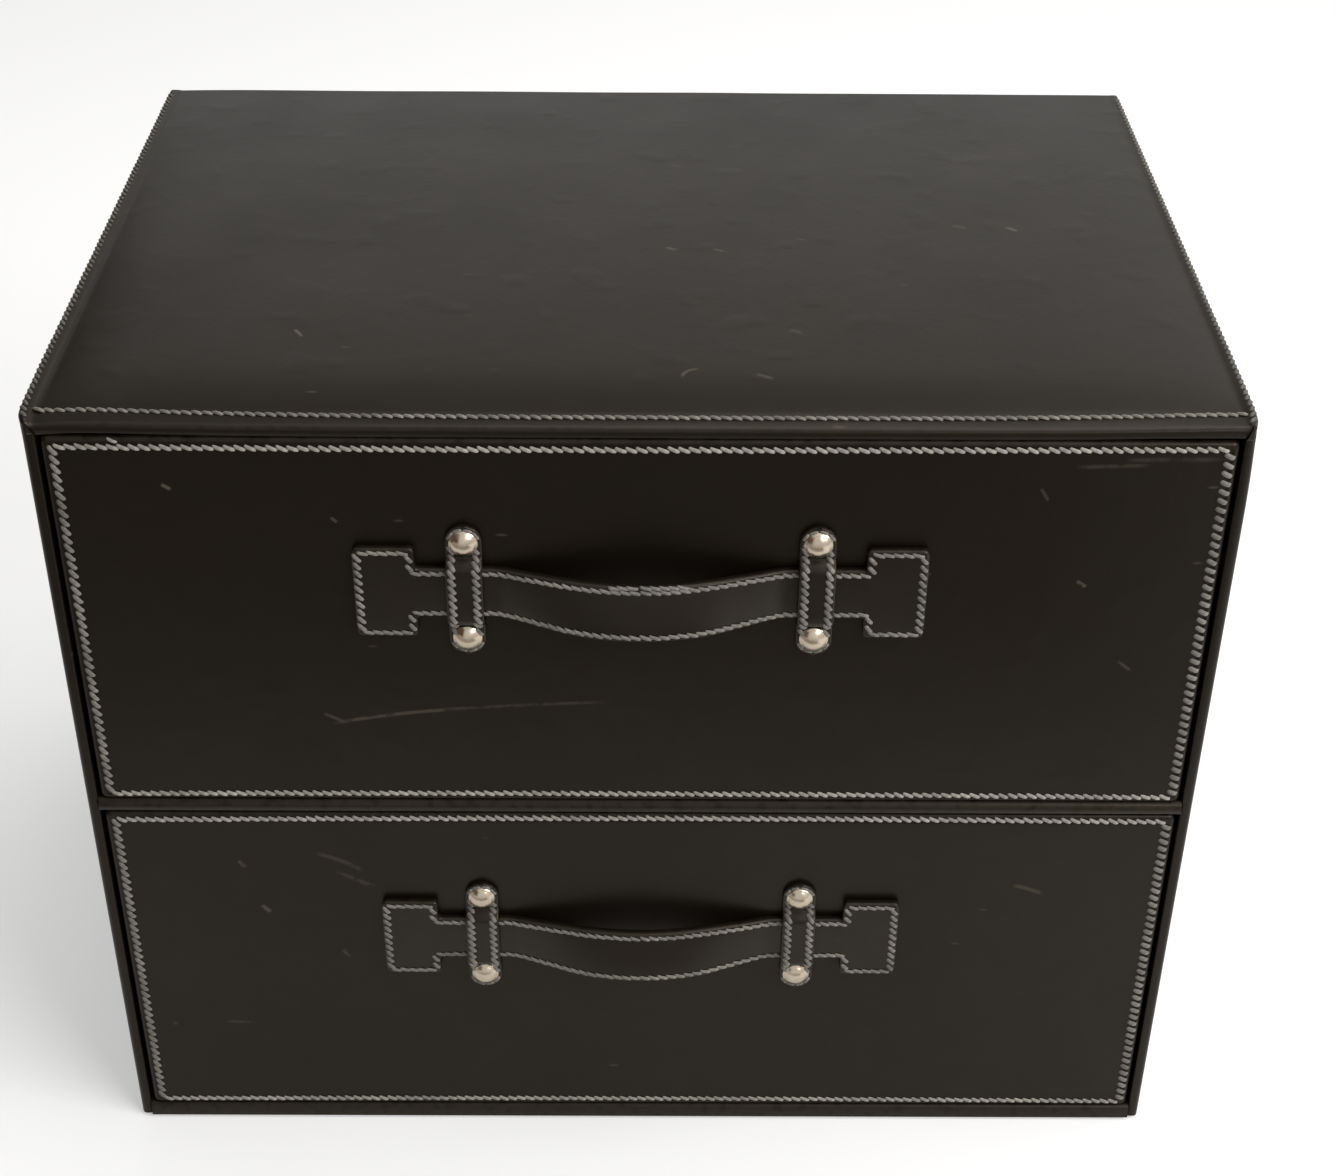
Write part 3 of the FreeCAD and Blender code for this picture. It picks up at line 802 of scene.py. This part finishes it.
def front_stations():
    """Lines of a drawer front's leather from its face outwards and round to its turned-in edge.

    Each line is (inset, depth) of the face side and of the back side.
    """
    lines = [(inset, 0.0, inset, COVER) for inset in (9, 6, 4.6, 3.8, 3.3, 2.9, 2.5, 2.15)]
    for a in (0, 22.5, 45, 67.5, 90):
        depth, inset = bend(FRONT_ROUND, a)
        back_depth, back_inset = bend(FRONT_ROUND - COVER, a)
        lines.append((inset, depth, COVER + back_inset, COVER + back_depth))
    back = FRONT_THICK - COVER
    lines += [(0.0, 3.4, COVER, 3.4), (0.0, 5.0, COVER, 4.6), (0.25, 5.45, COVER, back)]
    lines += [(inset, FRONT_THICK, max(1.0, inset), back) for inset in (0.7, 5.0, FRONT_TURN_IN)]
    return lines


def front_cover(drawer, material):
    """Leather over a drawer front, round its edges and turned in behind."""
    low, high = mm_box(drawer + "_front_cover")
    half_x = (high.x - low.x) / 2
    half_z = (high.z - low.z) / 2
    middle = (high.z + low.z) / 2
    lines = front_stations()
    reach = [0.0]
    for a, b in zip(lines, lines[1:]):
        reach.append(reach[-1] + math.hypot(b[0] - a[0], b[1] - a[1]))
    corner = next(r for r, line in zip(reach, lines) if line[0] <= FRONT_CORNER)

    def axis(half):
        """(station, side, coordinate) of the grid lines across the front."""
        inner = [(-1, 0, v) for v in spread(-half + FRONT_SOFT, half - FRONT_SOFT, 10)]
        outer = range(len(lines))
        return [(k, -1, None) for k in reversed(outer)] + inner + [(k, 1, None) for k in outer]

    def place(u, v, side):
        """A grid point's (x, z, depth) on the face side (0) or the back side (2) of the leather."""
        level = max(u[0], v[0])
        inset, depth = lines[level][side:side + 2] if level >= 0 else (0.0, COVER if side else 0.0)
        x, z = (
            coordinate if k < 0 else sign * (half - lines[k][side])
            for (k, sign, coordinate), half in ((u, half_x), (v, half_z))
        )
        if all(k >= 0 and reach[k] >= corner for k in (u[0], v[0])):
            a, b = (reach[k] - corner + 0.001 for k in (u[0], v[0]))
            arm = max(0.0, FRONT_CORNER - inset) / math.hypot(a, b)
            short = max(FRONT_CORNER, inset)
            return u[1] * (half_x - short + arm * a), v[1] * (half_z - short + arm * b), depth
        if level >= 0 and lines[level][1] == FRONT_THICK:
            limit_x, limit_z = half_x - inset, half_z - inset
            return max(-limit_x, min(limit_x, x)), max(-limit_z, min(limit_z, z)), depth
        return x, z, depth

    columns = axis(half_x)
    uprights = axis(half_z)
    seed = half_x + middle
    sides = []
    wear_and_highlight = []
    for side in (0, 2):
        for v in uprights:
            for u in columns:
                x, z, depth = place(u, v, side)
                rim = min(half_x - abs(x), half_z - abs(z))
                worn_and_lit = 0.0
                if side == 0 and depth < 0.01:
                    flat = min(1.0, rim / 20)
                    depth += FRONT_RIPPLE * flat * ripple(x, z, seed)
                    depth += SEAM_GROOVE * math.exp(-(((rim - SEAM_INSET) / SEAM_GROOVE_WIDTH) ** 2))
                elif side == 0 and depth < 1.5:
                    # Round the edges the leather turns paler: a painted highlight along the top and bottom edges, and
                    # only a little rubbed wear on the upright edges
                    worn_and_lit = 0.9 if half_z - abs(z) < half_x - abs(x) else 0.1
                sides.append((x, low.y + depth, middle + z))
                wear_and_highlight.append(worn_and_lit)
    shape = sides, paired_faces(len(uprights), len(columns))
    made = piece(drawer + "_front_leather", shape, material, wear_and_highlight)
    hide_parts(drawer + "_front_cover")
    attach(made, drawer + "_drawer")


def drawer_lining(drawer):
    """Felt over the floor and the walls of a drawer, rounded where they meet."""
    low, high = mm_box(drawer + "_drawer_lining")
    middle = (low + high) / 2
    half = (high - low) / 2
    floor_z = low.z + LINING
    # Inset, height and corner radius of each ring, from the outside over the rim to the floor
    steps = [(0.0, low.z, 0.6), (0.0, high.z - 0.4, 0.6), (0.3, high.z, 0.8), (LINING - 0.3, high.z, 2.6)]
    steps += [(LINING, high.z - 0.4, 3.0), (LINING, floor_z + LINING_ROUND, 3.0)]
    bends = [bend(LINING_ROUND, a) for a in (30, 60, 90)]
    steps += [(LINING + inward, floor_z + up, 3.4) for inward, up in bends]
    steps.append((40.0, floor_z, 8.0))
    rings = []
    for inset, z, radius in steps:
        ring = loop_round(half.x - inset, half.y - inset, radius)
        rings.append([(middle.x + x, middle.y + y, z) for x, y in ring])
    made = piece(drawer + "_felt_lining", lofted(rings), felt)
    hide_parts(drawer + "_drawer_lining")
    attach(made, drawer + "_drawer")


# ---- sewing ----


def stitch_shape(centre, ahead, normal, length, radius):
    """One stitch, a short fat turn of thread whose ends dive into their holes, and its map along and round it."""
    across = normal.cross(ahead)
    rings = []
    turns = []
    for t, swell in STITCH_STATIONS:
        rise = 0.45 * radius - radius * t ** 4
        middle = centre + ahead * (t * length / 2) + normal * rise
        ring = []
        for k in range(STITCH_SIDES):
            turn = 2 * math.pi * k / STITCH_SIDES
            arm = across * (math.cos(turn) * 1.04) + normal * (math.sin(turn) * 0.9)
            ring.append(middle + arm * (radius * swell))
            turns.append((t * length / 2 * MM, k / STITCH_SIDES))
        rings.append(ring)
    return lofted(rings), turns


def sew(name, rows, pitch=STITCH, yarn=thread):
    """Thread along rows of (path, hand): each path is a list of (point, normal)."""
    store = ([], [])
    turns = []
    for path, (lean, length, radius) in rows:
        runs = [0.0]
        for a, b in zip(path, path[1:]):
            runs.append(runs[-1] + (b[0] - a[0]).length)
        count = max(1, round(runs[-1] / pitch))
        step = 0
        for k in range(count):
            spot = (k + 0.5) * runs[-1] / count
            while step < len(path) - 2 and runs[step + 1] < spot:
                step += 1
            start, end = path[step], path[step + 1]
            share = (spot - runs[step]) / max(1e-6, runs[step + 1] - runs[step])
            centre = start[0].lerp(end[0], share)
            normal = start[1].lerp(end[1], share).normalized()
            along = (end[0] - start[0]).normalized()
            across = normal.cross(along)
            turn = math.radians(lean + hand.uniform(-UNEVEN_LEAN, UNEVEN_LEAN))
            ahead = along * math.cos(turn) + across * math.sin(turn)
            centre = centre + across * hand.uniform(-UNEVEN_DRIFT, UNEVEN_DRIFT)
            reach = length * hand.uniform(*UNEVEN_LENGTH)
            shape, spots = stitch_shape(centre, ahead, normal, reach, radius)
            add_shape(store, shape)
            turns += spots
    return piece(name, store, yarn, turns=turns)


def straight(start, end, bow=0.0):
    """A row on a drawer front from start to end, whose middle wanders up by the bow."""
    row = []
    for t in spread(0, 1, 0.04 if bow else 1.0):
        row.append((Vector(start).lerp(Vector(end), t) + Vector((0, 0, 4 * bow * t * (1 - t))), Vector(OUT)))
    return row


def drawer_seams(drawer):
    """Thread round a drawer front: level rows, and upright rows in a darker thread."""
    low, high = mm_box(drawer + "_front_cover")
    y = low.y + SEAM_SINK
    left, right = low.x + SEAM_INSET_SIDE[-1], high.x - SEAM_INSET_SIDE[1]
    bottom, top = low.z + SEAM_INSET, high.z - SEAM_INSET
    first, last = left + SEAM_TRIM, right - SEAM_TRIM
    rows = [
        (straight((first, y, top - SEAM_DIP), (last, y, top), SEAM_BOW[drawer][0]), LEVEL_HAND),
        (straight((first, y, bottom), (last, y, bottom), SEAM_BOW[drawer][1]), LEVEL_HAND),
    ]
    if drawer == "upper":
        # The cut end of the thread stands off the seam near the left corner
        rows.append((straight((-155.6, y, high.z - 0.4), (-152.2, y - 0.2, high.z - 1.7)), TAIL_HAND))
    made = sew(drawer + "_front_seam", rows)
    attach(made, drawer + "_drawer")
    rows = [
        (straight((x, y, top - SEAM_TRIM), (x, y, bottom + SEAM_TRIM)), turn_of_hand)
        for x, turn_of_hand in ((right, RIGHT_HAND), (left, LEFT_HAND))
    ]
    made = sew(drawer + "_front_side_seams", rows, yarn=mid_grey_thread)
    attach(made, drawer + "_drawer")


def case_seams():
    """Thread along the front of the top, and along both sides on the raised edge."""
    low, high = mm_box("outer_cover")
    path = []
    for x in spread(low.x + CASE_SEAM_END, high.x - CASE_SEAM_END, 5):
        y = case_seam_y(x)
        z = high.z + top_ease(x, y) + edge_ridge(x, y) - CASE_SEAM_SINK
        path.append((Vector((x, y, z)), Vector((0, -0.12, 1)).normalized()))
    made = sew("case_front_seam", [(path, CASE_HAND)], yarn=dark_grey_thread)
    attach(made, "case")
    rows = []
    for side in (-1, 1):
        path = []
        normal = Vector((0.35 * side, 0, 1.0)).normalized()
        for y in spread(high.y - 3, front_y + 2.4, 6):
            spot = on_arris("face", y, side, ARRIS_SEAM_PLACE, high.x, high.z)
            path.append((spot - normal * ARRIS_SEAM_SINK, normal))
        lean, length, radius = ARRIS_HAND
        rows.append((path, (-side * lean, length, radius)))
    made = sew("case_side_seams", rows, yarn=darkest_thread)
    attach(made, "case")


# ---- handles ----


# Radius and length of each run of half a grip; the flank is straight
STRAP_RUNS = [
    (CROWN_RADIUS, CROWN_RADIUS * FLANK_SLOPE),
    (None, FLANK_LENGTH),
    (-BEND_RADIUS, BEND_RADIUS * FLANK_SLOPE),
]


def strap_line(s):
    """(x, out, slope angle) of the strap's middle line at a length s from the middle of the grip."""
    x, out, turn = 0.0, STRAP_MID_OUT + GRIP_RISE, 0.0
    for radius, length in STRAP_RUNS:
        run = min(s, length)
        s -= run
        if radius:
            after = turn + run / radius
            x += radius * (math.sin(after) - math.sin(turn))
            out -= radius * (math.cos(turn) - math.cos(after))
            turn = after
        else:
            x += run * math.cos(turn)
            out -= run * math.sin(turn)
        if s <= 0:
            return x, out, turn
    return x + s, STRAP_MID_OUT, 0.0


def strap_length(x):
    """Length along the strap to a place on its flat part."""
    return (CROWN_RADIUS + BEND_RADIUS) * FLANK_SLOPE + FLANK_LENGTH + x - STRAP_FLAT


def on_strap(drawer, s, across, height, side, middle):
    """A point of the strap: s along it from the middle, across its width and height above its middle line."""
    share, lean, droop = GRIP_HANG[drawer]
    x, out, turn = strap_line(s)
    bow = max(0.0, (out - STRAP_MID_OUT) / GRIP_RISE)
    out = STRAP_MID_OUT + share * (out - STRAP_MID_OUT)
    bow = bow * bow * (3 - 2 * bow)
    x += height * math.sin(turn)
    out += height * math.cos(turn) - lean * bow * across / STRAP_HALF
    return Vector((side * x, front_y - out, middle + across - droop * bow))


def strap_ring(width, thickness):
    """Closed outline across the strap as (across, height): rounded edges, a low crown and a dent at each seam."""
    half = thickness / 2
    edge = min(0.9, width * 0.3)
    right = [
        (width - 0.5, -half),
        (width - 0.12, -half + 0.15),
        (width, -half + 0.6),
        (width, half - edge),
        (width - 0.3 * edge, half - 0.28 * edge),
        (width - edge, half - 0.02),
        (width - STRAP_SEAM_INSET, half - 0.12),
        (width - 2.1, half),
        (width - 3.2, half + 0.06),
        (width * 0.45, half + 0.14),
        (width * 0.15, half + 0.16),
    ]
    left = [(-u, v) for u, v in reversed(right)]
    return right + left + [(-width * 0.4, -half), (width * 0.4, -half)]


def strap_stations():
    """(length along, half width, thickness) of the rings of half a strap, from the middle to the end of its tab."""
    stations = [(s, STRAP_HALF, STRAP_THICKNESS) for s in spread(0, strap_length(TAB_START) - 0.9, 1.6)]
    shoulder = strap_length(TAB_START)
    for off, width in ((-0.35, 9.0), (-0.05, 9.6), (0.0, 12.0), (0.05, 14.4), (0.2, 15.4), (0.6, 15.85), (1.2, 16.0)):
        stations.append((shoulder + off, width, STRAP_THICKNESS))
    end = strap_length(TAB_END)
    stations += [(s, TAB_HALF, STRAP_THICKNESS) for s in spread(shoulder + 2.5, end - 2.4, 2.2)]
    for back, cut in ((1.6, 0.0), (1.0, 0.12), (0.5, 0.45), (0.2, 0.9), (0.0, 1.5)):
        thinner = 0.0 if back > 0.7 else 0.5 * (0.7 - back) / 0.7
        stations.append((end - back, TAB_HALF - cut, STRAP_THICKNESS - 2 * thinner))
    return stations


def half_strap(drawer, side, middle):
    """One half of a handle strap and its sewing, bowed with its grip; both are baked in place."""
    word = SIDE_WORD[side]
    rings = []
    wear_and_highlight = []
    for s, width, thickness in strap_stations():
        ring = strap_ring(width, thickness)
        rings.append([on_strap(drawer, s, u, v, side, middle) for u, v in ring])
        wear_and_highlight += [0.8 if abs(abs(u) - width) < 0.9 and v > 0 else 0.0 for u, v in ring]
    strap = piece(f"{drawer}_{word}_strap", lofted(rings), strap_leather, wear_and_highlight)
    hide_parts(f"{drawer}_handle_{word}_end", f"{drawer}_handle_grip")

    face = STRAP_THICKNESS / 2
    rows = []

    def row(start, end, turn_of_hand):
        """Adds a row between two places on the strap, each a length along it and a place across it."""
        (s0, a0), (s1, a1) = start, end
        path = []
        for share in spread(0, 1, 1.5 / max(abs(s1 - s0), abs(a1 - a0))):
            s, a = s0 + (s1 - s0) * share, a0 + (a1 - a0) * share
            inner, outer = (on_strap(drawer, s, a, face + rise, side, middle) for rise in (-0.1, 0.9))
            path.append((inner, (outer - inner).normalized()))
        rows.append((path, turn_of_hand))

    neck, tab = STRAP_HALF - STRAP_SEAM_INSET, TAB_HALF - STRAP_SEAM_INSET
    inner = strap_length(TAB_START) + STRAP_SEAM_INSET
    outer = strap_length(TAB_END) - STRAP_SEAM_INSET
    trim = STRAP_SEAM_TRIM
    for up in (1, -1):
        row((0.2, up * neck), (inner - trim, up * neck), STRAP_LEVEL_HAND)
        row((inner, up * (neck + trim)), (inner, up * (tab - trim)), STRAP_UPRIGHT_HAND)
        row((inner + trim, up * tab), (outer - trim, up * tab), STRAP_LEVEL_HAND)
    row((outer, tab - trim), (outer, -tab + trim), STRAP_UPRIGHT_HAND)
    if drawer == "upper":
        # The top row was sewn over again beside the middle
        first, last = (0.4, 14.0) if side > 0 else (1.2, 9.0)
        row((first, neck + 1.5), (last, neck + 1.1), STRAP_LEVEL_HAND)
    stitches = sew(f"{drawer}_{word}_strap_seam", rows, STRAP_STITCH, mid_grey_thread)
    for made in (strap, stitches):
        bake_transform(made)


def bent_line(corners, radius, step):
    """(u, v) points along straight runs joined by round bends."""
    points = [Vector(corners[0])]
    for before, at, after in zip(corners, corners[1:], corners[2:]):
        at = Vector(at)
        back = (Vector(before) - at).normalized()
        ahead = (Vector(after) - at).normalized()
        points += [points[-1].lerp(at + back * radius, t) for t in spread(0, 1, step / 12)[1:]]
        a, b = at + back * radius, at + ahead * radius
        points += [a.lerp(at, t).lerp(at.lerp(b, t), t) for t in (0.25, 0.5, 0.75, 1.0)]
    points += [points[-1].lerp(Vector(corners[-1]), t) for t in spread(0, 1, step / 12)[1:]]
    return points


def keeper(drawer, side, middle):
    """A leather loop over the strap, sewn round its edge and riveted at both feet."""
    word = SIDE_WORD[side]
    line = bent_line(KEEPER_PATH, 1.0, 1.3)
    half = KEEPER_THICKNESS / 2
    rings = []
    wear_and_highlight = []
    lined = []
    for i, point in enumerate(line):
        ahead = (line[min(i + 1, len(line) - 1)] - line[max(i - 1, 0)]).normalized()
        normal = Vector((-ahead.y, ahead.x))
        past = abs(point.x) - KEEPER_END_CENTRE
        width = math.sqrt(max(0.2, KEEPER_END_RADIUS ** 2 - max(0.0, past) ** 2))
        edge = min(0.55, width * 0.4)
        right = [
            (width - 0.3, -half),
            (width, -half + 0.3),
            (width, half - edge),
            (width - 0.3 * edge, half - 0.28 * edge),
            (width - edge, half),
            (width * 0.62, half - 0.1),
            (width * 0.3, half + 0.1),
        ]
        outline = right + [(-u, v) for u, v in reversed(right)]
        ring = []
        for u, v in outline:
            out, up = point.y + normal.y * v, point.x + normal.x * v
            ring.append((side * KEEPER_X + u, front_y - out, middle + up))
        rings.append(ring)
        wear_and_highlight += [0.9 if abs(u) > width - 0.6 and v > 0 else 0.0 for u, v in outline]
        lined.append((point, normal))
    made = piece(f"{drawer}_{word}_keeper_loop", lofted(rings), strap_leather, wear_and_highlight)
    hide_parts(f"{drawer}_{word}_keeper")
    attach(made, f"{drawer}_drawer")

    rows = []
    for edge in (-1, 1):
        path = []
        for point, normal in reversed(lined):
            if abs(point.x) <= RIVET_Z:
                up, out = point + normal * (half - 0.05)
                spot = Vector((side * KEEPER_X + edge * KEEPER_SEAM, front_y - out, middle + up))
                path.append((spot, Vector((0, -normal.y, normal.x))))
        rows.append((path, KEEPER_HAND))
    for end in (-1, 1):
        path = []
        for a in spread(-72, 72, 12):
            turn = math.radians(a)
            x = side * KEEPER_X + KEEPER_END_SEAM * math.sin(turn)
            z = middle + end * (RIVET_Z + KEEPER_END_SEAM * math.cos(turn))
            path.append((Vector((x, front_y - KEEPER_THICKNESS + 0.3, z)), Vector(OUT)))
        rows.append((path, KEEPER_END_HAND))
    stitches = sew(f"{drawer}_{word}_keeper_seam", rows, KEEPER_STITCH, mid_grey_thread)
    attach(stitches, f"{drawer}_drawer")


def rivets(drawer, middle):
    """Four pressed domes, each with a thin rim that beds on its keeper."""
    foot = KEEPER_THICKNESS + 0.02
    ball = (RIVET_RADIUS ** 2 + RIVET_RISE ** 2) / (2 * RIVET_RISE)
    profile = [(RIVET_SHANK, foot), (RIVET_RADIUS - 0.25, foot)]
    profile += [(RIVET_RADIUS, foot + 0.16), (RIVET_RADIUS - 0.06, foot + 0.36)]
    for share in (0.9, 0.8, 0.68, 0.54, 0.4, 0.26, 0.13, 0.04):
        r = RIVET_RADIUS * share
        profile.append((r, foot + RIVET_RISE - ball + math.sqrt(ball * ball - r * r)))
    turns = [2 * math.pi * k / RIVET_SIDES for k in range(RIVET_SIDES)]
    store = ([], [])
    for x in (-KEEPER_X, KEEPER_X):
        for z in (middle - RIVET_Z, middle + RIVET_Z):
            rings = []
            for r, out in profile:
                rings.append([(x + r * math.cos(turn), front_y - out, z + r * math.sin(turn)) for turn in turns])
            add_shape(store, lofted(rings))
    made = piece(drawer + "_dome_rivets", store, nickel)
    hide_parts(drawer + "_handle_rivets")
    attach(made, drawer + "_drawer")


# ---- stage ----


def camera():
    """The camera that fits the picture, from its turn, its tilt and its roll."""
    yaw, pitch, roll = (math.radians(a) for a in (YAW, PITCH, ROLL))
    turned = Matrix.Rotation(-yaw, 4, "Z") @ Matrix.Rotation(math.pi / 2 - pitch, 4, "X")
    turned = turned @ Matrix.Rotation(roll, 4, "Z")
    data = bpy.data.cameras.new("camera")
    data.sensor_width = SENSOR
    data.lens = SENSOR * FOCAL_PIXELS / IMAGE_WIDTH
    data.clip_start = 0.01
    made = bpy.data.objects.new("camera", data)
    made.matrix_world = Matrix.Translation(Vector(EYE) * MM) @ turned
    bpy.context.scene.collection.objects.link(made)
    bpy.context.scene.camera = made


def seen_directly(add):
    """1 for what the camera sees, straight or in a mirror or through glass; 0 for light that only falls on things."""
    path = add("LightPath").node.outputs
    seen = add("Math", (path["Is Camera Ray"], path["Is Glossy Ray"]), operation="MAXIMUM")
    return add("Math", (seen, path["Is Transmission Ray"]), operation="MAXIMUM")


def plane(name, corners, material):
    """One flat face on the stage."""
    mesh = bpy.data.meshes.new(name)
    mesh.from_pydata(corners, [], [(0, 1, 2, 3)])
    mesh.materials.append(material)
    made = bpy.data.objects.new(name, mesh)
    bpy.context.scene.collection.objects.link(made)
    return made


def floor():
    """White paper floor; what the eye sees of it is lifted to white, and shadows stay."""
    material, add = blank("white_floor_paper")
    paper = add("BsdfDiffuse", {"Color": linear("#dedddc")})
    lift = add("Math", (seen_directly(add), FLOOR_LIFT), operation="MULTIPLY")
    glow = add("Emission", {"Color": (1, 1, 1, 1), "Strength": lift})
    add("OutputMaterial", (add("AddShader", (paper, glow)),))
    corners = [(x * FLOOR_HALF, y * FLOOR_HALF, FLOOR_LEVEL) for x, y in ((-1, -1), (1, -1), (1, 1), (-1, 1))]
    plane("floor", corners, material)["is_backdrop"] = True


def card(name, corners, tone):
    """A plain card beside the stage, seen only in the sheen of the leather and the rivets."""
    material, add = blank(name)
    add("OutputMaterial", (add("Emission", {"Color": linear(tone)}),))
    made = plane(name, corners, material)
    made.visible_camera = False
    made.visible_diffuse = False
    made.visible_shadow = False
    made.visible_transmission = False
    made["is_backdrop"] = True


def lights():
    """White room, a window light from the right and a broad ceiling light."""
    world = bpy.data.worlds.new("studio")
    bpy.context.scene.world = world
    world.use_nodes = True
    world.node_tree.nodes.clear()
    add = partial(node, world.node_tree)
    level = add("MapRange", (seen_directly(add), 0.0, 1.0, ROOM_LIGHT, 1.0))
    add("OutputWorld", (add("Background", {"Color": (1, 1, 1, 1), "Strength": level}),))
    for name, place, aim, size, watts in LIGHTS:
        data = bpy.data.lights.new(name, "AREA")
        data.shape = "RECTANGLE"
        data.size, data.size_y = size
        data.energy = watts
        made = bpy.data.objects.new(name, data)
        made.location = place
        made.rotation_euler = (Vector(place) - Vector(aim)).to_track_quat("Z", "Y").to_euler()
        bpy.context.scene.collection.objects.link(made)
    bpy.context.scene.view_settings.view_transform = "Standard"


camera()
floor()
for name, corners, tone in CARDS:
    card(name, corners, tone)
lights()

case_top_board()
case_cover()
shelf_and_base_covers()
back_cover()
base_felt()
case_seams()
for drawer, material in (("upper", upper_leather_painted_darker), ("lower", lower_leather_painted_paler)):
    low, high = mm_box(drawer + "_handle_grip")
    level = (low.z + high.z) / 2
    front_cover(drawer, material)
    drawer_seams(drawer)
    drawer_lining(drawer)
    for side in (-1, 1):
        half_strap(drawer, side, level)
        keeper(drawer, side, level)
    rivets(drawer, level)

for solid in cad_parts.values():
    if not solid.hide_render:
        for held in solid.material_slots:
            held.material = board

low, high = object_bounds()
